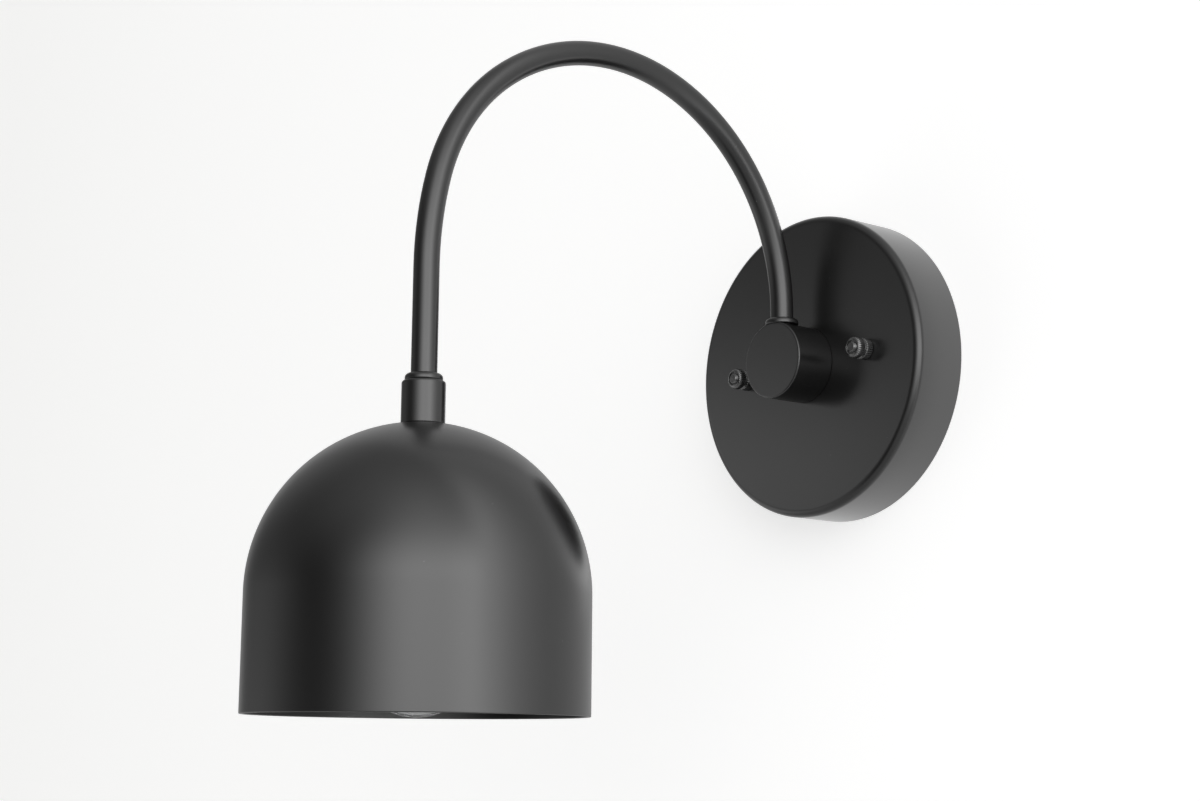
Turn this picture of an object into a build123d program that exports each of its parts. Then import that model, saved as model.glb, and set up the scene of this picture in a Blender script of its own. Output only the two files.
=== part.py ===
from build123d import *

import os
from math import cos, radians, sin, sqrt

os.makedirs("parts", exist_ok=True)

# A wall sconce: a round canopy, a short hub, a gooseneck tube and a domed shade with one globe bulb.
# Millimetres. The origin is on the wall at the centre of the canopy, +Z is up and the lamp stands out
# along -Y. "Depth" and "from the wall" run along -Y.

INCH = 25.4

# Clearances between pieces, radial unless they say otherwise
thread_clearance = 0.05  # screwed pieces, whose threads are plain cylinders here
slip_clearance = 0.2  # holes that a nipple, stud or rivet drops through
lead_clearance = 0.1  # between the two leads, and round a lead in its connector
contact_gap = 0.1  # along Z, spring tongue to bulb tip

# Canopy, a pressed cover open at the back
canopy_diameter = 5 * INCH
canopy_depth = 1 * INCH
canopy_sheet = 1.0
canopy_edge_radius = 3.0

# Crossbar, turned a little on the wall box as it was fitted
bar_past_box_screw = 7.55  # from a box screw's centre to the end of the bar
bar_width = 19.0
bar_thickness = 2.0
bar_turn = 2.8  # degrees, the right-hand stud is the higher one
stud_spacing = 2.75 * INCH
box_screw_spacing = 3.5 * INCH
box_screw_hole = 4.8
bar_length = box_screw_spacing + 2 * bar_past_box_screw
bar_slot_length = 10.0
bar_slot_width = 4.8
bar_slot_place = 24.0  # middle of each slot from the middle of the bar
ground_screw_place = 12.0
ground_screw_diameter = 4.8
ground_head_diameter = 9.0
ground_head_height = 2.4
ground_head_edge = 0.8
ground_slot_width = 1.2
ground_slot_depth = 1.2

# Studs and their thumb nuts
stud_diameter = 0.164 * INCH
stud_proud = 0.6  # past the face of its nut
stud_chamfer = 0.3
nut_diameter = 8.8
nut_length = 8.2
nut_barrel_length = 3.6
nut_neck_length = 1.0
nut_neck_diameter = 6.8
nut_nose_radius = 1.3
nut_nose_foot_radius = 0.5
nut_recess_diameter = 6.0
nut_recess_depth = 0.7
knurl_count = 28
knurl_depth = 0.35

# Hub
hub_diameter = 1.25 * INCH
hub_length = 0.75 * INCH
hub_edge = 0.35
hub_thread_depth = 7.0
hub_spot_face_depth = 0.6
hub_spot_face_margin = 0.3
wireway_diameter = 8.4

# Nipples, locknuts and washers, the common lamp thread
nipple_diameter = 10.2
nipple_bore = 7.4
nipple_past_nut = 1.5
locknut_across_flats = 14.3
locknut_thickness = 3.2
lock_washer_diameter = 16.0
lock_washer_thickness = 0.9
lock_washer_tooth_count = 12
lock_washer_tooth_depth = 1.4
lock_washer_tooth_gap = 1.6

# Arm: a tube that rises from the hub, turns over in one long bend and comes straight down. The bend
# is tightest just past its top, and eases out into the straight leg.
arm_diameter = 0.375 * INCH
arm_wall = 0.8
arm_stand_off = 13.2  # arm's axis in front of the canopy's face
arm_rise = 5.3  # from the top of the hub to the start of the bend
arm_leg = 42.1  # from the end of the bend to the coupler
arm_thread_depth = 7.0  # held in the hub, and in the coupler
bend_radius_over = 89.5
bend_radius_close = 82.5
bend_radius_ease = 142.0
bend_turn_over = 129.4  # degrees at the first radius
bend_turn_close = 36.6  # degrees at the second, and the third turns the rest of the half circle
bend_radii = [bend_radius_over, bend_radius_close, bend_radius_ease]
bend_turns = [bend_turn_over, bend_turn_close, 180 - bend_turn_over - bend_turn_close]

# Seat rings, one at each end of the arm
ring_diameter = 13.8
ring_height = 2.6
ring_top_radius = 1.7
ring_foot_radius = 0.5

# Coupler
coupler_diameter = 0.625 * INCH
coupler_length = 0.625 * INCH
coupler_shoulder_radius = 1.1
coupler_foot_chamfer = 0.4
coupler_thread_depth = 6.0  # of the nipple below it

# Shade: a half sphere on a straight skirt, with a small flat under the coupler
shade_diameter = 122.0
shade_skirt = 42.0
shade_sheet = 1.0
shade_rim_radius = 0.3
shade_flat_diameter = 15.0
shade_washer_margin = 0.2  # of the washer inside that flat
shade_washer_thickness = 1.2

# Socket
socket_diameter = 34.0
socket_wall = 2.5
socket_cap_length = 14.0
socket_cap_top = 3.0
socket_cap_edge = 2.0
socket_boss_diameter = 15.0
socket_boss_length = 3.0
spigot_length = 3.0
partition_below_cap = 4.0  # top of the partition, below the cap's mouth
partition_thickness = 4.0
socket_skirt = 25.5  # from the partition's underside to the socket's mouth
socket_mouth_radius = 0.8

# Screw shell and bulb cap, a medium screw
screw_cap_diameter = 26.1
screw_cap_sheet = 0.35
screw_shell_clearance = 0.35
screw_shell_sheet = 0.4
screw_shell_length = 20.0
screw_shell_hole = 15.0

# Socket's contact and terminals
line_rivet_x = -4.5
rivet_diameter = 2.4
lug_width = 5.0
lug_thickness = 0.8
lug_margin = 0.5  # from the wall of the chamber over the partition
lug_step = 1.5  # from the neutral rivet's axis in to where a lead lands
neutral_rivet_x = socket_diameter / 2 - 2 * socket_wall - lug_margin - lug_width / 2
lug_landing = neutral_rivet_x - lug_step  # where each lead lands, from the socket's axis
tongue_width = 5.0
tongue_thickness = 0.5
tongue_drop = 1.8
tongue_heel = 1.8  # past the rivet's axis
tongue_toe = 3.0  # past the axis
tongue_slope = 2.0  # length of the sloping run

# Bulb
bulb_length = 73.85
bulb_globe_diameter = 45.0
bulb_glass_wall = 0.8
bulb_neck_diameter = 24.4
bulb_neck_flare = 10.0
bulb_neck_engagement = 8.0  # of the glass in the screw cap
bulb_tip_diameter = 9.0
bulb_tip_height = 1.3
bulb_tip_round = 0.6
bulb_insulator_height = 3.2
bulb_insulator_foot = 10.0  # diameter round the tip
bulb_insulator_diameter = 21.0
bulb_cap_length = 22.5
bulb_cap_shoulder = 1.6
bulb_stem_diameter = 9.0
bulb_stem_length = 26.0
bulb_stem_round = 3.0
support_wire_diameter = 0.6
support_wire_length = 15.0
support_wire_lean = 14.0  # degrees
filament_diameter = 1.1

# Leads and their connectors
lead_diameter = 2.2
lead_hub_radius = 8.0
lead_canopy_radius = 6.6
lead_from_wall = 12.0  # the leads' turn inside the canopy
lead_socket_radius = 8.0
connector_reach = 24.0  # from that turn to a connector's mouth
connector_mouth_diameter = 10.6
connector_tip_diameter = 6.4
connector_length = 19.0
connector_socket_depth = 8.0
connector_edge = 0.8
connector_rib_count = 12
connector_rib_depth = 0.5
connector_angles = {"black": 250, "white": 290, "ground": 205}  # degrees on the wall, from +X
ground_run = 9.0  # of the ground lead along the crossbar, before it lifts off
ground_lift = 12.0  # length over which it lifts


# ---------------------------------------------------------------------------------------------
# Planes and places
# ---------------------------------------------------------------------------------------------
def from_wall(distance):
    """A plane parallel to the wall, facing away from it. Its own X is +X and its own Y is +Z."""
    return Plane.XZ.offset(distance)


hub_top_z = hub_diameter / 2
ring_seat_z = hub_top_z - hub_spot_face_depth
arm_from_wall = canopy_depth + arm_stand_off
bend_start_z = hub_top_z + arm_rise
stud_from_wall = canopy_depth + nut_length + stud_proud
canopy_nut_from_wall = canopy_depth - canopy_sheet - lock_washer_thickness
nipple_from_wall = canopy_nut_from_wall - locknut_thickness - nipple_past_nut


def bend_over(run):
    """The arcs of the arm's bend, each leaving the end of the line before it."""
    for radius, turn in zip(bend_radii, bend_turns):
        run = JernArc(start=run @ 1, tangent=run % 1, radius=radius, arc_size=turn)
    return run


with BuildLine(Plane.YZ) as arm_centre:
    rise = Line((-arm_from_wall, hub_top_z - arm_thread_depth), (-arm_from_wall, bend_start_z))
    bend_end = bend_over(rise) @ 1
    Line(bend_end, bend_end - Vector(0, 0, arm_leg + arm_thread_depth))

shade_y = bend_end.Y
shade_axis = Axis((0, shade_y, 0), (0, 0, 1))
coupler_top_z = bend_end.Z - arm_leg
shade_top_z = coupler_top_z - coupler_length
washer_top_z = shade_top_z - shade_sheet
locknut_top_z = washer_top_z - shade_washer_thickness
socket_top_z = locknut_top_z - locknut_thickness
cap_mouth_z = socket_top_z - socket_cap_length
partition_top_z = cap_mouth_z - partition_below_cap
partition_foot_z = partition_top_z - partition_thickness
socket_mouth_z = partition_foot_z - socket_skirt
nipple_foot_z = socket_top_z - socket_cap_top - socket_boss_length
lug_top_z = partition_top_z + lug_thickness
tongue_foot_z = partition_foot_z - tongue_drop
bulb_top_z = tongue_foot_z - contact_gap
bulb_cap_top_z = bulb_top_z - bulb_tip_height - bulb_insulator_height
bulb_cap_foot_z = bulb_cap_top_z - bulb_cap_length
bulb_foot_z = bulb_top_z - bulb_length
screw_shell_bore = screw_cap_diameter + 2 * screw_shell_clearance
screw_shell_diameter = screw_shell_bore + 2 * screw_shell_sheet


def hanging(z):
    """A level plane on the shade's axis, facing down, so that what hangs from it grows downwards."""
    return Plane(origin=(0, shade_y, z), x_dir=(1, 0, 0), z_dir=(0, 0, -1))


def shade_section():
    """The upright plane through the shade's axis. Its own X is +X and its own Y is Z."""
    return Plane.XZ.offset(-shade_y)


# ---------------------------------------------------------------------------------------------
# At the wall
# ---------------------------------------------------------------------------------------------
bar_plane = Plane.XZ.rotated((0, -bar_turn, 0))

with BuildPart() as crossbar:
    with BuildSketch(bar_plane):
        SlotOverall(bar_length, bar_width)
        Circle(nipple_diameter / 2 + slip_clearance, mode=Mode.SUBTRACT)
        with PolarLocations(stud_spacing / 2, 2):
            Circle(stud_diameter / 2 + thread_clearance, mode=Mode.SUBTRACT)
        with PolarLocations(box_screw_spacing / 2, 2):
            Circle(box_screw_hole / 2, mode=Mode.SUBTRACT)
        with PolarLocations(bar_slot_place, 2):
            SlotOverall(bar_slot_length, bar_slot_width, mode=Mode.SUBTRACT)
        with Locations((-ground_screw_place, 0)):
            Circle(ground_screw_diameter / 2 + thread_clearance, mode=Mode.SUBTRACT)
    extrude(amount=bar_thickness)
crossbar.part.label = "crossbar"
export_step(crossbar.part, "parts/crossbar.step")

with BuildPart() as mounting_studs:
    with BuildSketch(bar_plane):
        with PolarLocations(stud_spacing / 2, 2):
            Circle(stud_diameter / 2)
    extrude(amount=stud_from_wall)
    chamfer(mounting_studs.faces().sort_by(Axis.Y)[:2].edges(), length=stud_chamfer)
mounting_studs.part.label = "mounting_studs"
export_step(mounting_studs.part, "parts/mounting_studs.step")

ground_seat = bar_plane.offset(bar_thickness + lead_diameter)

with BuildPart() as ground_screw:
    with BuildSketch(bar_plane):
        with Locations((-ground_screw_place, 0)):
            Circle(ground_screw_diameter / 2)
    extrude(amount=bar_thickness + lead_diameter)
    with BuildSketch(ground_seat):
        with Locations((-ground_screw_place, 0)):
            Circle(ground_head_diameter / 2)
    extrude(amount=ground_head_height)
    fillet(ground_screw.faces().sort_by(Axis.Y)[0].edges(), radius=ground_head_edge)
    with BuildSketch(ground_seat.offset(ground_head_height)):
        with Locations((-ground_screw_place, 0)):
            Rectangle(ground_head_diameter, ground_slot_width)
    extrude(amount=-ground_slot_depth, mode=Mode.SUBTRACT)
ground_screw.part.label = "ground_screw"
export_step(ground_screw.part, "parts/ground_screw.step")

with BuildPart() as canopy:
    with BuildSketch(from_wall(0)):
        Circle(canopy_diameter / 2)
    extrude(amount=canopy_depth)
    fillet(canopy.faces().sort_by(Axis.Y)[0].edges(), radius=canopy_edge_radius)
    offset(amount=-canopy_sheet, openings=canopy.faces().sort_by(Axis.Y)[-1])
    with Locations(from_wall(canopy_depth)):
        Hole(nipple_diameter / 2 + slip_clearance)
        with PolarLocations(stud_spacing / 2, 2, start_angle=bar_turn):
            Hole(stud_diameter / 2 + slip_clearance)
canopy.part.label = "canopy"
export_step(canopy.part, "parts/canopy.step")

with BuildPart() as canopy_nipple:
    with BuildSketch(from_wall(nipple_from_wall)):
        Circle(nipple_diameter / 2)
        Circle(nipple_bore / 2, mode=Mode.SUBTRACT)
    extrude(amount=canopy_depth + hub_thread_depth - nipple_from_wall)
canopy_nipple.part.label = "canopy_nipple"
export_step(canopy_nipple.part, "parts/canopy_nipple.step")

with BuildPart() as canopy_lock_washer:
    with BuildSketch(from_wall(canopy_nut_from_wall)):
        Circle(lock_washer_diameter / 2)
        Circle(nipple_diameter / 2 + slip_clearance, mode=Mode.SUBTRACT)
        with PolarLocations(lock_washer_diameter / 2, lock_washer_tooth_count):
            Rectangle(2 * lock_washer_tooth_depth, lock_washer_tooth_gap, mode=Mode.SUBTRACT)
    extrude(amount=lock_washer_thickness)
canopy_lock_washer.part.label = "canopy_lock_washer"
export_step(canopy_lock_washer.part, "parts/canopy_lock_washer.step")

with BuildPart() as canopy_locknut:
    with BuildSketch(from_wall(canopy_nut_from_wall - locknut_thickness)):
        RegularPolygon(locknut_across_flats / 2, 6, major_radius=False)
        Circle(nipple_diameter / 2 + thread_clearance, mode=Mode.SUBTRACT)
    extrude(amount=locknut_thickness)
canopy_locknut.part.label = "canopy_locknut"
export_step(canopy_locknut.part, "parts/canopy_locknut.step")


# ---------------------------------------------------------------------------------------------
# Thumb nuts: a knurled barrel against the canopy, a neck and a rounded nose with a sunk face
# ---------------------------------------------------------------------------------------------
def thumb_nut(side):
    """One thumb nut on the stud at the given side, 1 on the right and -1 on the left."""
    reach = side * stud_spacing / 2
    place = (reach * cos(radians(bar_turn)), reach * sin(radians(bar_turn)))
    neck_start = canopy_depth + nut_barrel_length
    nose_start = neck_start + nut_neck_length
    with BuildPart() as nut:
        with BuildSketch(from_wall(canopy_depth)):
            with Locations(place):
                Circle(nut_diameter / 2)
                with PolarLocations(nut_diameter / 2, knurl_count):
                    Circle(knurl_depth, mode=Mode.SUBTRACT)
        extrude(amount=nut_barrel_length)
        with BuildSketch(from_wall(neck_start)):
            with Locations(place):
                Circle(nut_neck_diameter / 2)
        extrude(amount=nut_neck_length)
        with BuildSketch(from_wall(nose_start)):
            with Locations(place):
                Circle(nut_diameter / 2)
        extrude(amount=nut_length - nut_barrel_length - nut_neck_length)
        fillet(nut.faces().sort_by(Axis.Y)[0].edges(), radius=nut_nose_radius)
        nose_foot = nut.faces().filter_by(Plane.XZ).sort_by(Axis.Y)[1]
        fillet(nose_foot.outer_wire().edges(), radius=nut_nose_foot_radius)
        with BuildSketch(from_wall(canopy_depth + nut_length)):
            with Locations(place):
                Circle(nut_recess_diameter / 2)
        extrude(amount=-nut_recess_depth, mode=Mode.SUBTRACT)
        with BuildSketch(from_wall(canopy_depth)):
            with Locations(place):
                Circle(stud_diameter / 2 + thread_clearance)
        extrude(amount=nut_length, mode=Mode.SUBTRACT)
    return nut


for name, side in [("thumb_nut_left", -1), ("thumb_nut_right", 1)]:
    nut = thumb_nut(side)
    nut.part.label = name
    export_step(nut.part, f"parts/{name}.step")


# ---------------------------------------------------------------------------------------------
# Hub, arm, rings and coupler
# ---------------------------------------------------------------------------------------------
with BuildPart() as hub:
    with BuildSketch(from_wall(canopy_depth)):
        Circle(hub_diameter / 2)
    extrude(amount=hub_length)
    chamfer(hub.edges().filter_by(GeomType.CIRCLE), length=hub_edge)
    with BuildSketch(from_wall(canopy_depth)):
        Circle(nipple_diameter / 2 + thread_clearance)
    extrude(amount=hub_thread_depth, mode=Mode.SUBTRACT)
    with BuildSketch(from_wall(canopy_depth)):
        Circle(wireway_diameter / 2)
    extrude(amount=arm_stand_off + wireway_diameter / 2, mode=Mode.SUBTRACT)
    with BuildSketch(Plane((0, -arm_from_wall, ring_seat_z))):
        Circle(ring_diameter / 2 + hub_spot_face_margin)
    extrude(amount=hub_spot_face_depth, mode=Mode.SUBTRACT)
    with BuildSketch(Plane((0, -arm_from_wall, hub_top_z - arm_thread_depth))):
        Circle(arm_diameter / 2 + thread_clearance)
    extrude(amount=arm_thread_depth, mode=Mode.SUBTRACT)
    with BuildSketch(Plane((0, -arm_from_wall, 0))):
        Circle(wireway_diameter / 2)
    extrude(amount=hub_top_z, mode=Mode.SUBTRACT)
hub.part.label = "hub"
export_step(hub.part, "parts/hub.step")

with BuildPart() as arm:
    with BuildSketch(Plane(origin=arm_centre.line @ 0, z_dir=arm_centre.line % 0)):
        Circle(arm_diameter / 2)
        Circle(arm_diameter / 2 - arm_wall, mode=Mode.SUBTRACT)
    sweep(path=arm_centre.line)
arm.part.label = "arm"
export_step(arm.part, "parts/arm.step")


def seat_ring(place):
    """A ring round the arm, flat underneath and rounded on top, standing on the given plane."""
    with BuildPart() as ring:
        with BuildSketch(place):
            Circle(ring_diameter / 2)
        extrude(amount=ring_height)
        fillet(ring.edges().sort_by(Axis.Z)[-1], radius=ring_top_radius)
        fillet(ring.edges().sort_by(Axis.Z)[0], radius=ring_foot_radius)
        with BuildSketch(place):
            Circle(arm_diameter / 2 + thread_clearance)
        extrude(amount=ring_height, mode=Mode.SUBTRACT)
    return ring


for name, place in [
    ("hub_seat_ring", Plane((0, -arm_from_wall, ring_seat_z))),
    ("coupler_seat_ring", Plane((0, shade_y, coupler_top_z))),
]:
    ring = seat_ring(place)
    ring.part.label = name
    export_step(ring.part, f"parts/{name}.step")

with BuildPart() as coupler:
    with BuildSketch(hanging(coupler_top_z)):
        Circle(coupler_diameter / 2)
    extrude(amount=coupler_length)
    fillet(coupler.faces().sort_by(Axis.Z)[-1].edges(), radius=coupler_shoulder_radius)
    chamfer(coupler.faces().sort_by(Axis.Z)[0].edges(), length=coupler_foot_chamfer)
    with BuildSketch(hanging(coupler_top_z)):
        Circle(wireway_diameter / 2)
    extrude(amount=coupler_length, mode=Mode.SUBTRACT)
    with BuildSketch(hanging(coupler_top_z)):
        Circle(arm_diameter / 2 + thread_clearance)
    extrude(amount=arm_thread_depth, mode=Mode.SUBTRACT)
    with BuildSketch(hanging(shade_top_z)):
        Circle(nipple_diameter / 2 + thread_clearance)
    extrude(amount=-coupler_thread_depth, mode=Mode.SUBTRACT)
coupler.part.label = "coupler"
export_step(coupler.part, "parts/coupler.step")


# ---------------------------------------------------------------------------------------------
# Shade and what clamps it
# ---------------------------------------------------------------------------------------------
shade_radius = shade_diameter / 2
flat_radius = shade_flat_diameter / 2
dome_height = sqrt(shade_radius**2 - flat_radius**2)
spring_z = shade_top_z - dome_height
rim_z = spring_z - shade_skirt

with BuildPart() as shade:
    with BuildSketch(shade_section()):
        with BuildLine():
            flat = Line((0, shade_top_z), (flat_radius, shade_top_z))
            skirt = Line((shade_radius, spring_z), (shade_radius, rim_z))
            TangentArc(skirt @ 0, flat @ 1, tangent=(0, 1))
            Polyline(skirt @ 1, (0, rim_z), flat @ 0)
        make_face()
    revolve(axis=shade_axis)
    offset(amount=-shade_sheet, openings=shade.faces().sort_by(Axis.Z)[0])
    fillet(shade.faces().sort_by(Axis.Z)[0].edges(), radius=shade_rim_radius)
    with BuildSketch(hanging(shade_top_z)):
        Circle(nipple_diameter / 2 + slip_clearance)
    extrude(amount=shade_sheet, mode=Mode.SUBTRACT)
shade.part.label = "shade"
export_step(shade.part, "parts/shade.step")

with BuildPart() as shade_nipple:
    with BuildSketch(hanging(shade_top_z + coupler_thread_depth)):
        Circle(nipple_diameter / 2)
        Circle(nipple_bore / 2, mode=Mode.SUBTRACT)
    extrude(amount=shade_top_z + coupler_thread_depth - nipple_foot_z)
shade_nipple.part.label = "shade_nipple"
export_step(shade_nipple.part, "parts/shade_nipple.step")

with BuildPart() as shade_washer:
    with BuildSketch(hanging(washer_top_z)):
        Circle(flat_radius - shade_washer_margin)
        Circle(nipple_diameter / 2 + slip_clearance, mode=Mode.SUBTRACT)
    extrude(amount=shade_washer_thickness)
shade_washer.part.label = "shade_washer"
export_step(shade_washer.part, "parts/shade_washer.step")

with BuildPart() as shade_locknut:
    with BuildSketch(hanging(locknut_top_z)):
        RegularPolygon(locknut_across_flats / 2, 6, major_radius=False)
        Circle(nipple_diameter / 2 + thread_clearance, mode=Mode.SUBTRACT)
    extrude(amount=locknut_thickness)
shade_locknut.part.label = "shade_locknut"
export_step(shade_locknut.part, "parts/shade_locknut.step")


# ---------------------------------------------------------------------------------------------
# Socket
# ---------------------------------------------------------------------------------------------
with BuildPart() as socket_cap:
    with BuildSketch(hanging(socket_top_z)):
        Circle(socket_diameter / 2)
    extrude(amount=socket_cap_length)
    fillet(socket_cap.faces().sort_by(Axis.Z)[-1].edges(), radius=socket_cap_edge)
    with BuildSketch(hanging(socket_top_z - socket_cap_top)):
        Circle(socket_diameter / 2 - socket_wall)
    extrude(amount=socket_cap_length, mode=Mode.SUBTRACT)
    with BuildSketch(hanging(socket_top_z)):
        Circle(socket_boss_diameter / 2)
    extrude(amount=socket_cap_top + socket_boss_length)
    with BuildSketch(hanging(socket_top_z)):
        Circle(nipple_diameter / 2 + thread_clearance)
    extrude(amount=socket_cap_length, mode=Mode.SUBTRACT)
socket_cap.part.label = "socket_cap"
export_step(socket_cap.part, "parts/socket_cap.step")

with BuildPart() as socket_body:
    with BuildSketch(hanging(cap_mouth_z)):
        Circle(socket_diameter / 2)
    extrude(amount=cap_mouth_z - socket_mouth_z)
    fillet(socket_body.faces().sort_by(Axis.Z)[0].edges(), radius=socket_mouth_radius)
    with BuildSketch(hanging(cap_mouth_z + spigot_length)):
        Circle(socket_diameter / 2 - socket_wall - thread_clearance)
    extrude(amount=spigot_length)
    with BuildSketch(hanging(cap_mouth_z + spigot_length)):
        Circle(socket_diameter / 2 - 2 * socket_wall)
    extrude(amount=spigot_length + partition_below_cap, mode=Mode.SUBTRACT)
    with BuildSketch(hanging(partition_foot_z)):
        Circle(screw_shell_diameter / 2 + thread_clearance)
    extrude(amount=socket_skirt, mode=Mode.SUBTRACT)
    with BuildSketch(hanging(partition_top_z)):
        with Locations((line_rivet_x, 0), (neutral_rivet_x, 0)):
            Circle(rivet_diameter / 2 + thread_clearance)
    extrude(amount=partition_thickness, mode=Mode.SUBTRACT)
socket_body.part.label = "socket_body"
export_step(socket_body.part, "parts/socket_body.step")

with BuildPart() as socket_screw_shell:
    with BuildSketch(hanging(partition_foot_z)):
        Circle(screw_shell_diameter / 2)
    extrude(amount=screw_shell_length)
    with BuildSketch(hanging(partition_foot_z - screw_shell_sheet)):
        Circle(screw_shell_bore / 2)
    extrude(amount=screw_shell_length, mode=Mode.SUBTRACT)
    with BuildSketch(hanging(partition_foot_z)):
        Circle(screw_shell_hole / 2)
    extrude(amount=screw_shell_sheet, mode=Mode.SUBTRACT)
socket_screw_shell.part.label = "socket_screw_shell"
export_step(socket_screw_shell.part, "parts/socket_screw_shell.step")

with BuildPart() as socket_contact:
    with BuildSketch(Plane.XZ.offset(-shade_y - tongue_width / 2)):
        with BuildLine():
            Polyline(
                (line_rivet_x - tongue_heel, partition_foot_z),
                (-tongue_slope, partition_foot_z),
                (0, tongue_foot_z + tongue_thickness),
                (tongue_toe, tongue_foot_z + tongue_thickness),
            )
            offset(amount=tongue_thickness, side=Side.RIGHT)
        make_face()
    extrude(amount=tongue_width)
socket_contact.part.label = "socket_contact"
export_step(socket_contact.part, "parts/socket_contact.step")

with BuildPart() as socket_terminals:
    for landing_x, rivet_x in [(-lug_landing, line_rivet_x), (lug_landing, neutral_rivet_x)]:
        with BuildSketch(hanging(lug_top_z)):
            with Locations(((landing_x + rivet_x) / 2, 0)):
                SlotCenterToCenter(abs(rivet_x - landing_x), lug_width)
        extrude(amount=lug_thickness)
        with BuildSketch(hanging(partition_top_z)):
            with Locations((rivet_x, 0)):
                Circle(rivet_diameter / 2)
        extrude(amount=partition_thickness)
socket_terminals.part.label = "socket_terminals"
export_step(socket_terminals.part, "parts/socket_terminals.step")


# ---------------------------------------------------------------------------------------------
# Bulb
# ---------------------------------------------------------------------------------------------
with BuildPart() as bulb_contact:
    with BuildSketch(hanging(bulb_top_z)):
        Circle(bulb_tip_diameter / 2)
    extrude(amount=bulb_tip_height)
    fillet(bulb_contact.faces().sort_by(Axis.Z)[-1].edges(), radius=bulb_tip_round)
bulb_contact.part.label = "bulb_contact"
export_step(bulb_contact.part, "parts/bulb_contact.step")

with BuildPart() as bulb_insulator:
    with BuildSketch(hanging(bulb_top_z - bulb_tip_height)):
        Circle(bulb_insulator_foot / 2)
    with BuildSketch(hanging(bulb_cap_top_z)):
        Circle(bulb_insulator_diameter / 2)
    loft()
bulb_insulator.part.label = "bulb_insulator"
export_step(bulb_insulator.part, "parts/bulb_insulator.step")

with BuildPart() as bulb_screw_cap:
    with BuildSketch(hanging(bulb_cap_top_z)):
        Circle(screw_cap_diameter / 2)
    extrude(amount=bulb_cap_length)
    fillet(bulb_screw_cap.faces().sort_by(Axis.Z)[-1].edges(), radius=bulb_cap_shoulder)
    offset(amount=-screw_cap_sheet, openings=bulb_screw_cap.faces().sort_by(Axis.Z)[0])
bulb_screw_cap.part.label = "bulb_screw_cap"
export_step(bulb_screw_cap.part, "parts/bulb_screw_cap.step")

globe_radius = bulb_globe_diameter / 2
globe_z = bulb_foot_z + globe_radius
neck_radius = bulb_neck_diameter / 2
neck_top_z = bulb_cap_foot_z + bulb_neck_engagement
flare_centre_r = neck_radius + bulb_neck_flare
flare_height = sqrt((globe_radius + bulb_neck_flare) ** 2 - flare_centre_r**2)
flare_share = globe_radius / (globe_radius + bulb_neck_flare)

with BuildPart() as bulb_glass:
    with BuildSketch(shade_section()):
        with BuildLine():
            neck = Line((neck_radius, neck_top_z), (neck_radius, globe_z + flare_height))
            flare_end = (flare_centre_r * flare_share, globe_z + flare_height * flare_share)
            flare = TangentArc(neck @ 1, flare_end, tangent=neck % 1)
            globe = TangentArc(flare @ 1, (0, bulb_foot_z), tangent=flare % 1)
            Polyline(globe @ 1, (0, neck_top_z), neck @ 0)
        make_face()
    revolve(axis=shade_axis)
    offset(amount=-bulb_glass_wall, openings=bulb_glass.faces().sort_by(Axis.Z)[-1])
bulb_glass.part.label = "bulb_glass"
export_step(bulb_glass.part, "parts/bulb_glass.step")

stem_foot_z = neck_top_z - bulb_stem_length

with BuildPart() as bulb_stem:
    with BuildSketch(hanging(neck_top_z)):
        Circle(neck_radius - bulb_glass_wall)
    extrude(amount=bulb_glass_wall)
    with BuildSketch(hanging(neck_top_z)):
        Circle(bulb_stem_diameter / 2)
    extrude(amount=bulb_stem_length)
    fillet(bulb_stem.faces().sort_by(Axis.Z)[0].edges(), radius=bulb_stem_round)
bulb_stem.part.label = "bulb_stem"
export_step(bulb_stem.part, "parts/bulb_stem.step")


def support_wire(side):
    """Where a support wire leaves the stem, and the way it leans, 1 on the right and -1 on the left."""
    lean = radians(support_wire_lean)
    direction = Vector(side * sin(lean), 0, -cos(lean))
    return Vector(side * support_wire_diameter, shade_y, stem_foot_z), direction


with BuildPart() as bulb_support_wires:
    for side in [-1, 1]:
        root, direction = support_wire(side)
        with BuildSketch(Plane(origin=root, z_dir=direction)):
            Circle(support_wire_diameter / 2)
        extrude(amount=support_wire_length)
bulb_support_wires.part.label = "bulb_support_wires"
export_step(bulb_support_wires.part, "parts/bulb_support_wires.step")

wire_ends = [root + direction * support_wire_length for root, direction in map(support_wire, [-1, 1])]
filament_drop = filament_diameter / 2 + support_wire_diameter / 2 * sin(radians(support_wire_lean))
filament_start = wire_ends[0] - Vector(support_wire_diameter, 0, filament_drop)

with BuildPart() as bulb_filament:
    with BuildSketch(Plane(origin=filament_start, z_dir=(1, 0, 0))):
        Circle(filament_diameter / 2)
    extrude(amount=(wire_ends[1] - wire_ends[0]).length + 2 * support_wire_diameter)
bulb_filament.part.label = "bulb_filament"
export_step(bulb_filament.part, "parts/bulb_filament.step")


# ---------------------------------------------------------------------------------------------
# Leads and connectors
# ---------------------------------------------------------------------------------------------
lead_side = lead_diameter / 2 + lead_clearance / 2  # of each lead's axis from the middle of the tube


def on_wall(angle):
    """The direction at this angle on the wall, from +X towards +Z."""
    return Vector(cos(radians(angle)), 0, sin(radians(angle)))


def lead_turn(side):
    """Where a lead turns from the nipple towards its connector, 1 on the right and -1 on the left."""
    return Vector(side * lead_side, -lead_from_wall, 0)


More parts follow.
